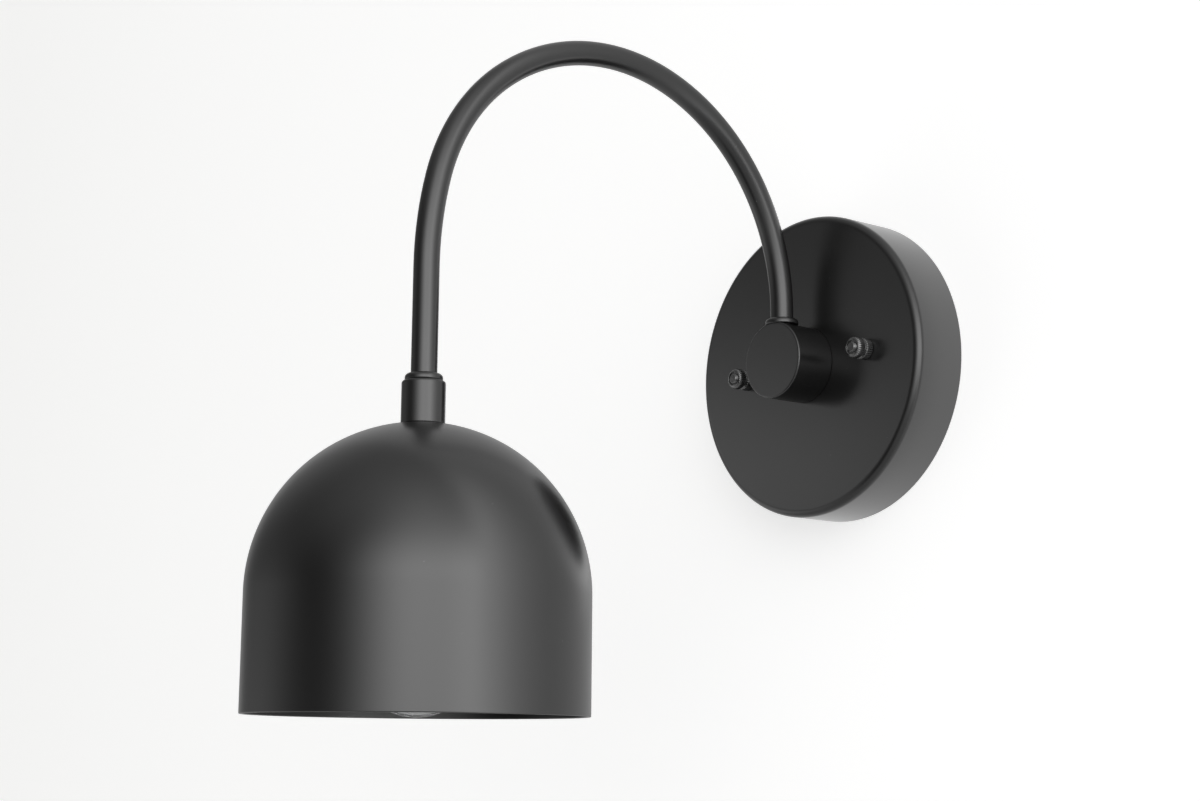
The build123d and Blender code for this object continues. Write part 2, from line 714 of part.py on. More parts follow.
def lead(colour, side):
    """One lead from its connector to its lug, on the given side of the tube's middle plane."""
    x = side * lead_side
    turn = lead_turn(side)
    connector_end = turn + on_wall(connector_angles[colour]) * (connector_reach + connector_socket_depth)
    # Two equal arcs, with no run between them, move the lead sideways to its lug
    shift = lug_landing - lead_side
    drop = sqrt(shift * (4 * lead_socket_radius - shift))
    with BuildPart() as piece:
        with BuildLine(Plane.YZ.offset(x)) as route:
            tail = FilletPolyline(
                connector_end,
                turn,
                Vector(x, -arm_from_wall, 0),
                Vector(x, -arm_from_wall, bend_start_z),
                radius=[lead_canopy_radius, lead_hub_radius],
            )
            bend = bend_over(tail)
            leg = Line(bend @ 1, Vector(x, shade_y, lug_top_z + drop))
            middle = Vector(x + side * shift / 2, shade_y, lug_top_z + drop / 2)
            first = TangentArc(leg @ 1, middle, tangent=leg % 1)
            TangentArc(first @ 1, Vector(side * lug_landing, shade_y, lug_top_z), tangent=first % 1)
        with BuildSketch(Plane(origin=route.line @ 0, z_dir=route.line % 0)):
            Circle(lead_diameter / 2)
        sweep(path=route.line)
    return piece, route.wires()[0].length


for colour, side in [("black", -1), ("white", 1)]:
    piece, length = lead(colour, side)
    print(f"lead_{colour}: {length:.1f} long, volume {piece.part.volume:.1f}")
    piece.part.label = f"lead_{colour}"
    export_step(piece.part, f"parts/lead_{colour}.step")

with BuildPart() as lead_ground:
    heading = on_wall(connector_angles["ground"])
    screw = on_wall(bar_turn) * -ground_screw_place
    on_bar = Vector(0, -(bar_thickness + lead_diameter / 2), 0)
    off_bar = Vector(0, -lead_from_wall, 0)
    under_head = ground_screw_diameter / 2 + thread_clearance
    lift_end = ground_run + ground_lift
    ground_mouth = lift_end + ground_run
    with BuildLine() as ground_route:
        FilletPolyline(
            screw + on_bar + heading * under_head,
            screw + on_bar + heading * ground_run,
            screw + off_bar + heading * lift_end,
            screw + off_bar + heading * (ground_mouth + connector_socket_depth),
            radius=lead_canopy_radius,
        )
    with BuildSketch(Plane(origin=ground_route.line @ 0, z_dir=ground_route.line % 0)):
        Circle(lead_diameter / 2)
    sweep(path=ground_route.line)
print(f"lead_ground: {ground_route.wires()[0].length:.1f} long, volume {lead_ground.part.volume:.1f}")
lead_ground.part.label = "lead_ground"
export_step(lead_ground.part, "parts/lead_ground.step")

connector_mouths = [(screw + off_bar + heading * ground_mouth, heading)]
for colour, side in [("black", -1), ("white", 1)]:
    direction = on_wall(connector_angles[colour])
    connector_mouths.append((lead_turn(side) + direction * connector_reach, direction))

with BuildPart() as wire_connectors:
    for mouth, direction in connector_mouths:
        mouth_plane = Plane(origin=mouth, x_dir=(0, 1, 0), z_dir=direction)
        with BuildSketch(mouth_plane):
            Circle(connector_mouth_diameter / 2)
        with BuildSketch(mouth_plane.offset(connector_length)):
            Circle(connector_tip_diameter / 2)
        loft()
        with BuildSketch(mouth_plane.offset(connector_edge)):
            with PolarLocations(connector_mouth_diameter / 2, connector_rib_count):
                Circle(connector_rib_depth)
        extrude(amount=connector_length, mode=Mode.SUBTRACT)
        with BuildSketch(mouth_plane):
            Circle(lead_diameter / 2 + lead_clearance)
        extrude(amount=connector_socket_depth, mode=Mode.SUBTRACT)
wire_connectors.part.label = "wire_connectors"
export_step(wire_connectors.part, "parts/wire_connectors.step")
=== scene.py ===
import math

import bmesh
import bpy
import numpy as np
from mathutils import Matrix, Vector


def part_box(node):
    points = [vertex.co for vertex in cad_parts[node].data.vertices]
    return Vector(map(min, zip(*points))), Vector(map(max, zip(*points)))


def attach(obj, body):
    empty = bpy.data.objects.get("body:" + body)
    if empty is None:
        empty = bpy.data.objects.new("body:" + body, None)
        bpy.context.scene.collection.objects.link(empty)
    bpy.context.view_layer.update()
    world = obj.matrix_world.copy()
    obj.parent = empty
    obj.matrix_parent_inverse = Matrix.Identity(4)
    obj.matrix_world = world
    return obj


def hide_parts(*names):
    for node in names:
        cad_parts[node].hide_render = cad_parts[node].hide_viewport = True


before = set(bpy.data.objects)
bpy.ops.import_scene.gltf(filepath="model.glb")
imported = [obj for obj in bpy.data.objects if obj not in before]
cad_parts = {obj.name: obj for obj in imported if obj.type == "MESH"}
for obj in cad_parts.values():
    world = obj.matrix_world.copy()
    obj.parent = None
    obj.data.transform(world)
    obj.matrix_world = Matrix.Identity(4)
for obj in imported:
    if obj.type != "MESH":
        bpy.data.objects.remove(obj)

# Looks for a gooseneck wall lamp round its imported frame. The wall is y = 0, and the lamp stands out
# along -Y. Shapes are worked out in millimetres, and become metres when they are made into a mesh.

MM = 0.001
INCH = 25.4
TURN = 2 * math.pi
X, Y, Z = np.eye(3)
GUARD = 0.12  # how far past an arc, as a share of its run, the flat beside it gets a row
SHARP = math.radians(34)  # an edge that turns further than this stays sharp
WELD = 1e-7  # in metres: points closer than this become one

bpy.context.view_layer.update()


# ---------------------------------------- places
def unit(vector):
    vector = np.asarray(vector, float)
    return vector / np.linalg.norm(vector, axis=-1, keepdims=True)


def extent(node):
    """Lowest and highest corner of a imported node, in millimetres."""
    low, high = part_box(node)
    return np.array(low) / MM, np.array(high) / MM


def levels(node):
    """The lowest and the highest z of a node."""
    low, high = extent(node)
    return low[2], high[2]


def reach(node):
    """How far a node goes along +X."""
    return extent(node)[1][0]


class Spot:
    """Where a turned or flat piece stands: its origin, its axis and the way its angle zero points."""

    def __init__(self, origin, axis, zero):
        self.origin = np.array(origin, float)
        self.axis = unit(axis)
        self.zero = unit(np.array(zero) - np.dot(zero, self.axis) * self.axis)
        self.side = np.cross(self.axis, self.zero)

    def at(self, a, b, c):
        """The point a along angle zero, b a quarter turn on, and c along the axis."""
        a, b, c = (np.asarray(value, float)[..., None] for value in (a, b, c))
        return self.origin + a * self.zero + b * self.side + c * self.axis


class Route:
    """A path of straight runs and arcs, each leaving the end of the one before it."""

    def __init__(self, start, heading):
        self.parts = [np.array([start], float)]
        self.heading = unit(heading)

    def run(self, length):
        self.parts.append(self.parts[-1][-1:] + length * self.heading)
        return self

    def arc(self, radius, degrees, hinge, step):
        """Each point is start + radius (sin a heading + (1 - cos a) inward).

        Inward is hinge x heading.
        """
        turn = math.radians(degrees)
        count = max(2, round(degrees / step))
        a = np.linspace(0, turn, count + 1)[1:, None]
        inward = np.cross(hinge, self.heading)
        bow = np.sin(a) * self.heading + (1 - np.cos(a)) * inward
        self.parts.append(self.parts[-1][-1] + radius * bow)
        self.heading = math.cos(turn) * self.heading + math.sin(turn) * inward
        return self

    def corner(self, radius, heading):
        """A quarter turn to a heading square to this one."""
        return self.arc(radius, 90, np.cross(self.heading, heading), 7.5)

    def path(self):
        return np.concatenate(self.parts)


def rounded(corners, radii, steps=7, loop=True):
    """A line through corners, with an arc at each.

    Where the line turns by t, an arc of radius c starts c tan(t / 2) before the corner. Its points
    are its two end spokes, blended by sines, round a centre on the corner's middle line.
    """
    corners = np.array(corners, float)
    radii = np.broadcast_to(radii, len(corners))
    line = []
    for number, (corner, radius) in enumerate(zip(corners, radii)):
        at_end = not loop and number in (0, len(corners) - 1)
        if radius == 0 or at_end:
            line.append(corner[None])
            continue
        back = unit(corners[number - 1] - corner)
        ahead = unit(corners[(number + 1) % len(corners)] - corner)
        turn = math.pi - math.acos(np.clip(back @ ahead, -1, 1))
        run = radius * math.tan(turn / 2)
        centre = corner + unit(back + ahead) * radius / math.cos(turn / 2)
        first = corner + back * run - centre
        last = corner + ahead * run - centre
        share = np.linspace(0, 1, steps + 1)[:, None]
        arc = (np.sin((1 - share) * turn) * first + np.sin(share * turn) * last) / math.sin(turn)
        guard = run * (1 + GUARD)
        line += [(corner + back * guard)[None], centre + arc, (corner + ahead * guard)[None]]
    return np.concatenate(line)


# ---------------------------------------- surfaces
def angles(columns):
    return np.arange(columns) * TURN / columns


def grid(points, loop_rows=False, loop_columns=False):
    """Faces between neighbouring rows and columns of points. A loop joins its last to its first."""
    rows, columns = points.shape[:2]
    number = np.arange(rows * columns).reshape(rows, columns)
    if loop_rows:
        number = np.vstack([number, number[:1]])
    if loop_columns:
        number = np.hstack([number, number[:, :1]])
    corners = [number[:-1, :-1], number[:-1, 1:], number[1:, 1:], number[1:, :-1]]
    return points.reshape(-1, 3), np.stack(corners, -1).reshape(-1, 4)


def turned(spot, r, h, columns=96, loop=True):
    """A surface round an axis: the point at row i and angle t is r cos t, r sin t, h.

    r and h hold one number a row, or one for each row and angle, which makes knurls, flats and
    threads. The section runs anticlockwise, so that faces look outwards.
    """
    angle = angles(columns)
    r, h = (np.asarray(value, float) for value in (r, h))
    r = r[:, None] if r.ndim == 1 else r
    h = h[:, None] if h.ndim == 1 else h
    r, h = np.broadcast_arrays(r, h)
    mean_r, mean_h = r.mean(1), h.mean(1)
    area = np.sum(mean_r * np.roll(mean_h, -1) - np.roll(mean_r, -1) * mean_h)
    if area < 0:
        r, h = r[::-1], h[::-1]
    points = spot.at(r * np.cos(angle), r * np.sin(angle), h + 0 * angle)
    return grid(points, loop_rows=loop, loop_columns=True)


def lathe(spot, line, columns=96, loop=True):
    """A line of points (radius, height), turned round an axis."""
    return turned(spot, line[:, 0], line[:, 1], columns, loop)


def drill(spot, radius, low, high, columns=48):
    """A closed cylinder between two heights."""
    return turned(spot, [0, radius, radius, 0], [low, low, high, high], columns, False)


def capped(path, ring):
    """A ring of points at each point of a path, with the path's two ends as poles."""
    start, end = path[:1, None] + 0 * ring[:1], path[-1:, None] + 0 * ring[:1]
    return grid(np.concatenate([start, path[:, None] + ring, end]), loop_columns=True)


def tube(path, radius, side=X, bore=0.0, columns=32):
    """A round section carried along a path: path + r (cos t n + sin t b), n = side x tangent,
    b = tangent x n. With a bore it goes out along the outside and back along the inside."""
    path = np.asarray(path, float)
    tangent = unit(np.gradient(path, axis=0))
    n = unit(np.cross(side, tangent))
    b = np.cross(tangent, n)
    t = angles(columns)[:, None]
    ring = np.cos(t) * n[:, None] + np.sin(t) * b[:, None]
    if not bore:
        return capped(path, radius * ring)
    outside = path[:, None] + radius * ring
    inside = (path[:, None] + bore * ring)[::-1]
    return grid(np.concatenate([outside, inside]), loop_rows=True, loop_columns=True)


def strip(path, half_width, half_thick, side, rounding=0.12):
    """A flat section carried along a path: its corners are rounded, and both ends are closed."""
    tangent = unit(np.gradient(path, axis=0))
    up = unit(np.cross(side, tangent))
    w, t = half_width, half_thick
    section = rounded([(-t, -w), (t, -w), (t, w), (-t, w)], rounding, 3)
    return capped(path, section[:, :1] * up[:, None] + section[:, 1:] * side)


def stadium(spot, half, radii, heights, columns=96):
    """A flat bar with round ends: half is from its middle to the centre of an end. Row i stands at
    radii[i] from the line between those centres and at heights[i]."""
    t = angles(columns) + TURN / columns / 2
    offset = half * np.sign(np.cos(t))
    radii, heights = (np.asarray(value, float)[:, None] for value in (radii, heights))
    points = spot.at(offset + radii * np.cos(t), radii * np.sin(t), heights + 0 * t)
    return grid(points, loop_columns=True)


def flat_rows(radius, low, high, edge):
    """Radii and heights, from below to above, of a flat form with rounded edges."""
    corners = [(0, low), (radius, low), (radius, high), (0, high)]
    return rounded(corners, [0, edge, edge, 0], 4, False).T


def thread(spot, radius, depth, pitch, length, columns, chamfer, bore=0.0):
    """A right-hand screw: r = radius - depth / 2 (1 - cos(turn (h / pitch) - t)), closed or bored."""
    rows_a_turn = 9
    t = angles(columns)
    h = np.linspace(0, length, round(length / pitch * rows_a_turn))[:, None]
    wave = radius - depth / 2 * (1 - np.cos(TURN * h / pitch - t))
    nose = radius - chamfer + np.minimum(h, length - h)
    inner = np.full((1, columns), bore)
    r = np.concatenate([inner, np.minimum(wave, nose), inner])
    h = np.concatenate([[[0]], h, [[length]]]) + 0 * t
    return turned(spot, r, h, columns, loop=bore > 0)


# ---------------------------------------- pieces
def smooth(mesh):
    mesh.shade_smooth()
    mesh.set_sharp_from_angle(angle=SHARP)


def make_piece(name, *surfaces):
    """One mesh from one or more surfaces, its poles and seams closed."""
    starts = np.cumsum([0] + [len(points) for points, _ in surfaces])
    points = np.concatenate([points for points, _ in surfaces]) * MM
    faces = np.concatenate([faces + start for (_, faces), start in zip(surfaces, starts)])
    mesh = bpy.data.meshes.new(name)
    mesh.vertices.add(len(points))
    mesh.vertices.foreach_set("co", points.astype(np.float32).ravel())
    mesh.loops.add(faces.size)
    mesh.loops.foreach_set("vertex_index", faces.astype(np.int32).ravel())
    mesh.polygons.add(len(faces))
    mesh.polygons.foreach_set("loop_start", np.arange(0, faces.size, 4, dtype=np.int32))
    mesh.update(calc_edges=True)
    work = bmesh.new()
    work.from_mesh(mesh)
    bmesh.ops.remove_doubles(work, verts=work.verts, dist=WELD)
    work.to_mesh(mesh)
    work.free()
    smooth(mesh)
    piece = bpy.data.objects.new(name, mesh)
    bpy.context.scene.collection.objects.link(piece)
    return piece


def cut(piece, *surfaces):
    """Takes closed surfaces away from a piece."""
    tool = make_piece("cutter", *surfaces)
    modifier = piece.modifiers.new("cut", "BOOLEAN")
    modifier.operation = "DIFFERENCE"
    modifier.solver = "EXACT"
    modifier.object = tool
    bpy.context.view_layer.update()
    result = bpy.data.meshes.new_from_object(piece.evaluated_get(bpy.context.evaluated_depsgraph_get()))
    piece.modifiers.clear()
    piece.data = result
    smooth(result)
    bpy.data.objects.remove(tool)


def join(piece, *others):
    """Adds other pieces' meshes to a piece."""
    work = bmesh.new()
    for mesh in [piece.data] + [other.data for other in others]:
        work.from_mesh(mesh)
    work.to_mesh(piece.data)
    work.free()
    smooth(piece.data)
    for other in others:
        bpy.data.objects.remove(other)


def dress(piece, slot, body, node):
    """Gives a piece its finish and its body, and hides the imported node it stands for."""
    piece.data.materials.clear()
    piece.data.materials.append(finishes[slot])
    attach(piece, body)
    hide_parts(node)


def build(name, slot, body, node, *surfaces):
    """Makes a piece that needs no cutting, and dresses it."""
    dress(make_piece(name, *surfaces), slot, body, node)


# ---------------------------------------- shader sums
class Value:
    """One output of a node. Arithmetic on it adds Math nodes."""

    def __init__(self, bench, socket):
        self.bench, self.socket = bench, socket

    def sum(self, operation, *values, clamp=False):
        settings = {"operation": operation, "use_clamp": clamp}
        return self.bench.node("ShaderNodeMath", settings, dict(enumerate(values)))

    def __add__(self, other):
        return self.sum("ADD", self, other)

    def __sub__(self, other):
        return self.sum("SUBTRACT", self, other)

    def __rsub__(self, other):
        return self.sum("SUBTRACT", other, self)

    def __mul__(self, other):
        return self.sum("MULTIPLY", self, other)

    def __pow__(self, other):
        return self.sum("POWER", self, other)

    def above(self, other):
        return self.sum("GREATER_THAN", self, other)

    def below(self, other):
        return self.sum("LESS_THAN", self, other)

    def within(self, low, high):
        """0 at low, 1 at high, straight between them and clamped outside."""
        return self.sum("MULTIPLY", self - low, 1 / (high - low), clamp=True)

    __radd__, __rmul__ = __add__, __mul__


class Bench:
    """A node tree being filled, for a material or the world."""

    def __init__(self, tree):
        self.tree = tree
        tree.nodes.clear()

    def node(self, kind, settings=None, inputs=None, output=0):
        """Adds a node: its settings first, then numbers, colours or links for its sockets."""
        made = self.tree.nodes.new(kind)
        for name, value in (settings or {}).items():
            setattr(made, name, value)
        for name, value in (inputs or {}).items():
            socket = made.inputs[name]
            if isinstance(value, Value):
                self.tree.links.new(value.socket, socket)
            else:
                socket.default_value = value
        return Value(self, made.outputs[output])

    def vectors(self, operation, first, second=(0, 0, 0), output="Vector"):
        """A Vector Math node."""
        inputs = {0: first, 1: second}
        return self.node("ShaderNodeVectorMath", {"operation": operation}, inputs, output)

    def place(self):
        return self.node("ShaderNodeTexCoord", output="Object")

    def place_along(self, axis):
        return self.node("ShaderNodeSeparateXYZ", None, {0: self.place()}, axis)

    def noise(self, scale, detail=2.0, vector=None, **more):
        inputs = {"Vector": vector or self.place(), "Scale": scale, "Detail": detail, **more}
        return self.node("ShaderNodeTexNoise", None, inputs)

    def blend(self, share, low, high):
        """The colour low where share is 0, high where it is 1."""
        share_socket, low_socket, high_socket, colour_out = 0, 6, 7, 2
        inputs = {share_socket: share, low_socket: low, high_socket: high}
        return self.node("ShaderNodeMix", {"data_type": "RGBA"}, inputs, colour_out)

    def bump(self, height, strength, distance):
        inputs = {"Height": height, "Strength": strength, "Distance": distance}
        return self.node("ShaderNodeBump", None, inputs)

    def end(self, shader, kind="ShaderNodeOutputMaterial"):
        out = self.tree.nodes.new(kind)
        self.tree.links.new(shader.socket, out.inputs["Surface"])


def tone(*colour):
    return (*colour, 1) if len(colour) == 3 else (colour[0],) * 3 + (1,)


finishes = {}


def finish(slot, sockets, looks):
    """A material for one slot: sockets are plain numbers, looks adds what changes over the surface."""
    material = bpy.data.materials.new(slot)
    material.use_nodes = True
    bench = Bench(material.node_tree)
    bench.end(bench.node("ShaderNodeBsdfPrincipled", None, {**sockets, **looks(bench)}))
    finishes[slot] = material


# ---------------------------------------- looks
def marked(bench, mark, span, colours, roughness, relief):
    """A surface that follows one mark over it: the colours blend where the mark crosses the span,
    roughness is its first number plus the mark times its second, and relief is a bump's height,
    strength and distance."""
    share = mark.within(*span) if span else mark
    return {
        "Base Color": bench.blend(share, *colours),
        "Roughness": roughness[0] + mark * roughness[1],
        "Normal": bench.bump(*relief),
    }


def coat_looks(bench):
    """Baked satin paint: a broad drift of tone, a fine orange peel and a few specks of dust."""
    drift = bench.noise(22, 3)
    peel = bench.noise(1500, 2)
    cells = {"Vector": bench.place(), "Scale": 260}
    dust = bench.node("ShaderNodeTexVoronoi", {"feature": "F1"}, cells)
    specks = dust.below(0.045) * bench.noise(190, 0).above(0.66)
    base = bench.blend(drift.within(0.35, 0.65), tone(0.0035), tone(0.0050))
    return {
        "Base Color": bench.blend(specks * 0.5, base, tone(0.20)),
        "Roughness": COAT_ROUGHNESS - 0.02 + drift * 0.03 + specks * 0.2,
        "Normal": bench.bump(peel, 0.05, 0.00004),
    }


def plate_looks(bench):
    """Black plating, worn a little brighter in places."""
    wear = bench.noise(420, 4)
    relief = bench.noise(2600, 2), 0.08, 0.00003
    return marked(bench, wear, (0.45, 0.75), (tone(0.16), tone(0.26)), (0.12, 0.10), relief)


def zinc_looks(bench):
    """Bright zinc: soft patches with a faint yellow-blue cast and a fine grain."""
    patch = bench.noise(130, 4)
    colours = tone(0.56, 0.57, 0.60), tone(0.68, 0.67, 0.64)
    relief = bench.noise(1800, 3), 0.1, 0.00003
    return marked(bench, patch, (0.35, 0.65), colours, (0.30, 0.18), relief)


def green_looks(bench):
    """Green dye over zinc, thinner where it has rubbed."""
    rub = bench.noise(500, 4)
    colours = tone(0.035, 0.22, 0.07), tone(0.12, 0.36, 0.16)
    return marked(bench, rub, (0.5, 0.8), colours, (0.28, 0.16), (rub, 0.1, 0.00003))


def brass_looks(bench):
    """Pressed brass, clouded by handling."""
    cloud = bench.noise(160, 4)
    colours = tone(0.76, 0.57, 0.27), tone(0.60, 0.41, 0.19)
    relief = bench.noise(1500, 3), 0.08, 0.00003
    return marked(bench, cloud, (0.35, 0.7), colours, (0.2, 0.2), relief)


def phenolic_looks(bench):
    """Black moulding compound: flow marks and pale filler grains."""
    flow = bench.noise(70, 5, Distortion=0.6)
    grain = bench.noise(1700, 2).within(0.68, 0.74)
    base = bench.blend(flow, tone(0.018), tone(0.034))
    return {
        "Base Color": bench.blend(grain * 0.5, base, tone(0.09)),
        "Roughness": 0.30 + flow * 0.15,
        "Normal": bench.bump(bench.noise(900, 3), 0.12, 0.00004),
    }


def nickel_looks(bench):
    """Rolled nickel-plated brass, with faint marks round the cap."""
    rings = bench.noise(1, 3, bench.vectors("MULTIPLY", bench.place(), (120, 120, 2200)))
    colours = tone(0.66, 0.65, 0.62), tone(0.76, 0.75, 0.73)
    return marked(bench, rings, (0.3, 0.7), colours, (0.16, 0.14), (rings, 0.08, 0.00002))


def solder_looks(bench):
    """A dull solder blob."""
    lump = bench.noise(420, 3)
    colours = tone(0.48, 0.48, 0.5), tone(0.66, 0.66, 0.67)
    return marked(bench, lump, None, colours, (0.32, 0.25), (lump, 0.5, 0.00015))


def black_glass_looks(bench):
    """Poured black glass, slightly rippled."""
    ripple = bench.noise(240, 2)
    return marked(bench, ripple, None, (tone(0.012), tone(0.028)), (0.05, 0.08), (ripple, 0.2, 0.0001))


def clear_looks(bench):
    """Blown glass with the faintest unevenness."""
    sweep = bench.noise(60, 2)
    colours = tone(0.80, 0.82, 0.82), tone(0.86, 0.88, 0.88)
    return marked(bench, sweep, None, colours, (0.01, 0.02), (sweep, 0.04, 0.0002))


def stem_looks(bench):
    """Pressed lead glass, wavier than the globe."""
    wave = bench.noise(320, 3)
    colours = tone(0.86, 0.9, 0.9), tone(0.95, 0.97, 0.97)
    return marked(bench, wave, None, colours, (0.05, 0.08), (wave, 0.35, 0.0002))


def wire_looks(dull, bright):
    """Drawn wire with fine marks, which blend its two colours."""

    def looks(bench):
        marks = bench.noise(900, 4)
        return marked(bench, marks, (0.3, 0.7), (dull, bright), (0.3, 0.25), (marks, 0.15, 0.00003))

    return looks


def sheath_looks(base, worn):
    """Moulded or extruded plastic: slight scuffs and a dull skin."""

    def looks(bench):
        scuff = bench.noise(380, 4)
        relief = bench.noise(1300, 2), 0.1, 0.00004
        return marked(bench, scuff, (0.45, 0.75), (base, worn), (0.36, 0.2), relief)

    return looks


COAT_ROUGHNESS = 0.30
METAL = {"Metallic": 1.0}
GLASS = {"Transmission Weight": 1.0, "IOR": 1.2, "Alpha": 0.45}
finish("black_coat", {"Specular IOR Level": 1.0}, coat_looks)
finish("black_plate", {"Metallic": 0.9, "Specular IOR Level": 1.0}, plate_looks)
finish("zinc_steel", METAL, zinc_looks)
finish("green_steel", {"Metallic": 0.5}, green_looks)
finish("brass", METAL, brass_looks)
finish("phenolic", {}, phenolic_looks)
finish("nickel", METAL, nickel_looks)
finish("solder", METAL, solder_looks)
finish("black_glass", {"Coat Weight": 0.5}, black_glass_looks)
finish("clear_glass", GLASS, clear_looks)
finish("stem_glass", GLASS, stem_looks)
finish("support_metal", METAL, wire_looks(tone(0.46, 0.46, 0.48), tone(0.6, 0.6, 0.62)))
finish("filament", METAL, wire_looks(tone(0.24, 0.23, 0.22), tone(0.36, 0.33, 0.30)))
finish("lead_black", {}, sheath_looks(tone(0.018), tone(0.04)))
finish("lead_white", {}, sheath_looks(tone(0.80, 0.80, 0.78), tone(0.70, 0.69, 0.66)))
finish("lead_green", {}, sheath_looks(tone(0.035, 0.28, 0.09), tone(0.07, 0.36, 0.14)))
finish("connector", {}, sheath_looks(tone(0.82, 0.29, 0.04), tone(0.88, 0.38, 0.1)))

# ---------------------------------------- sizes, in millimetres
hub_ring_low, hub_ring_high = extent("hub_seat_ring")
shade_low, shade_high = extent("shade")
canopy_radius, hub_radius, coupler_radius = reach("canopy"), reach("hub"), reach("coupler")
canopy_depth = -extent("canopy")[0][1]
arm_stand_off = (hub_ring_low[1] + hub_ring_high[1]) / 2
shade_y = (shade_low[1] + shade_high[1]) / 2
shade_radius = reach("shade")
SHEET = 1.0  # of the canopy and the shade
FIT = 0.05  # the clearance round a piece in its bore
ARM_RADIUS, ARM_BORE = 4.7625, 3.9625
ARM_ROOM = ARM_RADIUS + FIT
NIPPLE_RADIUS, NIPPLE_BORE, NIPPLE_DEPTH = 5.1, 3.7, 0.5
NIPPLE_ROOM = NIPPLE_RADIUS + FIT
NIPPLE_HOLE = 5.3  # in sheet that a nipple goes through
WIREWAY = 4.2
STUD_REACH, STUD_TILT = 34.925, math.radians(2.8)
STUD_RADIUS = 2.083
MACHINE_PITCH, NIPPLE_PITCH, BULB_PITCH = INCH / 32, INCH / 27, INCH / 7


def wall_spot(across, up, out=0.0):
    """A place on the wall, facing the room. Angle zero is +X."""
    return Spot((across, -out, up), -Y, X)


def rising(z):
    """A place on the axis of the arm where it rises out of the hub."""
    return Spot((0, arm_stand_off, z), Z, X)


def hanging(z, x=0.0):
    """A place on the shade's axis, or x beside it. Heights on it go up, and angle zero is +X."""
    return Spot((x, shade_y, z), Z, X)


def wall_stretch(node):
    """The foot of a node that stands on the wall's axis, and its length."""
    low, high = extent(node)
    return wall_spot(0, 0, -high[1]), high[1] - low[1]


def hanging_stretch(node):
    """The foot of a node on the shade's axis, and its length."""
    low, high = extent(node)
    return hanging(low[2]), high[2] - low[2]


on_wall, hanging_zero = wall_spot(0, 0), hanging(0)

# ---------------------------------------- what shows in front
# Canopy: a flat face and a square side with a soft edge, open at the back
CANOPY_EDGE, BACK_EDGE, STUD_PLAY = 3.0, 0.25, 0.2
canopy_inside = canopy_radius - SHEET
canopy_line = rounded(
    [
        (canopy_radius, 0),
        (canopy_radius, canopy_depth),
        (NIPPLE_HOLE, canopy_depth),
        (NIPPLE_HOLE, canopy_depth - SHEET),
        (canopy_inside, canopy_depth - SHEET),
        (canopy_inside, 0),
    ],
    [BACK_EDGE, CANOPY_EDGE, 0, 0, CANOPY_EDGE - SHEET, BACK_EDGE],
    9,
)
wall_canopy = make_piece("wall_canopy", lathe(on_wall, canopy_line, 256))
stud_way = np.array([math.cos(STUD_TILT), 0, math.sin(STUD_TILT)])
stud_spots = [Spot(side * STUD_REACH * stud_way, -Y, X) for side in (-1, 1)]
stud_hole, behind_face, before_face = STUD_RADIUS + STUD_PLAY, 20, 30
cut(wall_canopy, *[drill(spot, stud_hole, behind_face, before_face) for spot in stud_spots])
dress(wall_canopy, "black_coat", "root", "canopy")

# Hub: a solid turned cylinder with broken edges, bored from behind, and from the top for the arm
HUB_SOCKET, HUB_WIREWAY = 7.0, 17.4  # depths from behind: of the nipple's bore and the wires' bore
ARM_START = 8.875  # the lower end of the arm, above the hub's middle
SEAT_RADIUS, ABOVE_HUB = 7.2, 20
hub_front = canopy_depth + wall_stretch("hub")[1]
hub_line = rounded(
    [
        (hub_radius, canopy_depth),
        (hub_radius, hub_front),
        (0, hub_front),
        (0, canopy_depth + HUB_WIREWAY),
        (WIREWAY, canopy_depth + HUB_WIREWAY),
        (WIREWAY, canopy_depth + HUB_SOCKET),
        (NIPPLE_ROOM, canopy_depth + HUB_SOCKET),
        (NIPPLE_ROOM, canopy_depth),
    ],
    [0.35, 0.7, 0, 0, 0, 0, 0, 0],
    6,
)
turned_hub = make_piece("turned_hub", lathe(on_wall, hub_line, 192))
seat = hub_ring_low[2]
arm_hole = [
    (0, 0),
    (WIREWAY, 0),
    (WIREWAY, ARM_START),
    (ARM_ROOM, ARM_START),
    (ARM_ROOM, seat),
    (SEAT_RADIUS, seat),
    (SEAT_RADIUS, ABOVE_HUB),
    (0, ABOVE_HUB),
]
cut(turned_hub, lathe(rising(0), np.array(arm_hole), 96, False))
dress(turned_hub, "black_coat", "root", "hub")

# Seat rings round the arm, at its foot and at its end
ring_height = hub_ring_high[2] - seat
ring_radius = (hub_ring_high[1] - hub_ring_low[1]) / 2


def seat_ring(name, spot, node):
    """A ring with a full round top and a small round foot."""
    corners = [(ring_radius, 0), (ring_radius, ring_height), (ARM_ROOM, ring_height), (ARM_ROOM, 0)]
    build(name, "black_coat", "root", node, lathe(spot, rounded(corners, [0.5, 1.6, 0, 0], 8)))


seat_ring("arm_foot_ring", rising(seat), "hub_seat_ring")
seat_ring("arm_end_ring", hanging_stretch("coupler_seat_ring")[0], "coupler_seat_ring")

# Arm: tube bent over in three arcs that run into each other. Each is a radius and a turn in degrees
BENDS = [(89.5, 129.4), (82.5, 36.6), (142.0, 14.0)]
BEND_START, ARM_LEG, ARM_SOCKET = 21.175, 42.1, 7.0
arm_route = Route((0, arm_stand_off, ARM_START), Z).run(BEND_START - ARM_START)
for bend_radius, bend_turn in BENDS:
    arm_route.arc(bend_radius, bend_turn, X, 1.5)
arm_route.run(ARM_LEG).run(ARM_SOCKET)
build("bent_arm", "black_coat", "root", "arm", tube(arm_route.path(), ARM_RADIUS, X, ARM_BORE, 56))

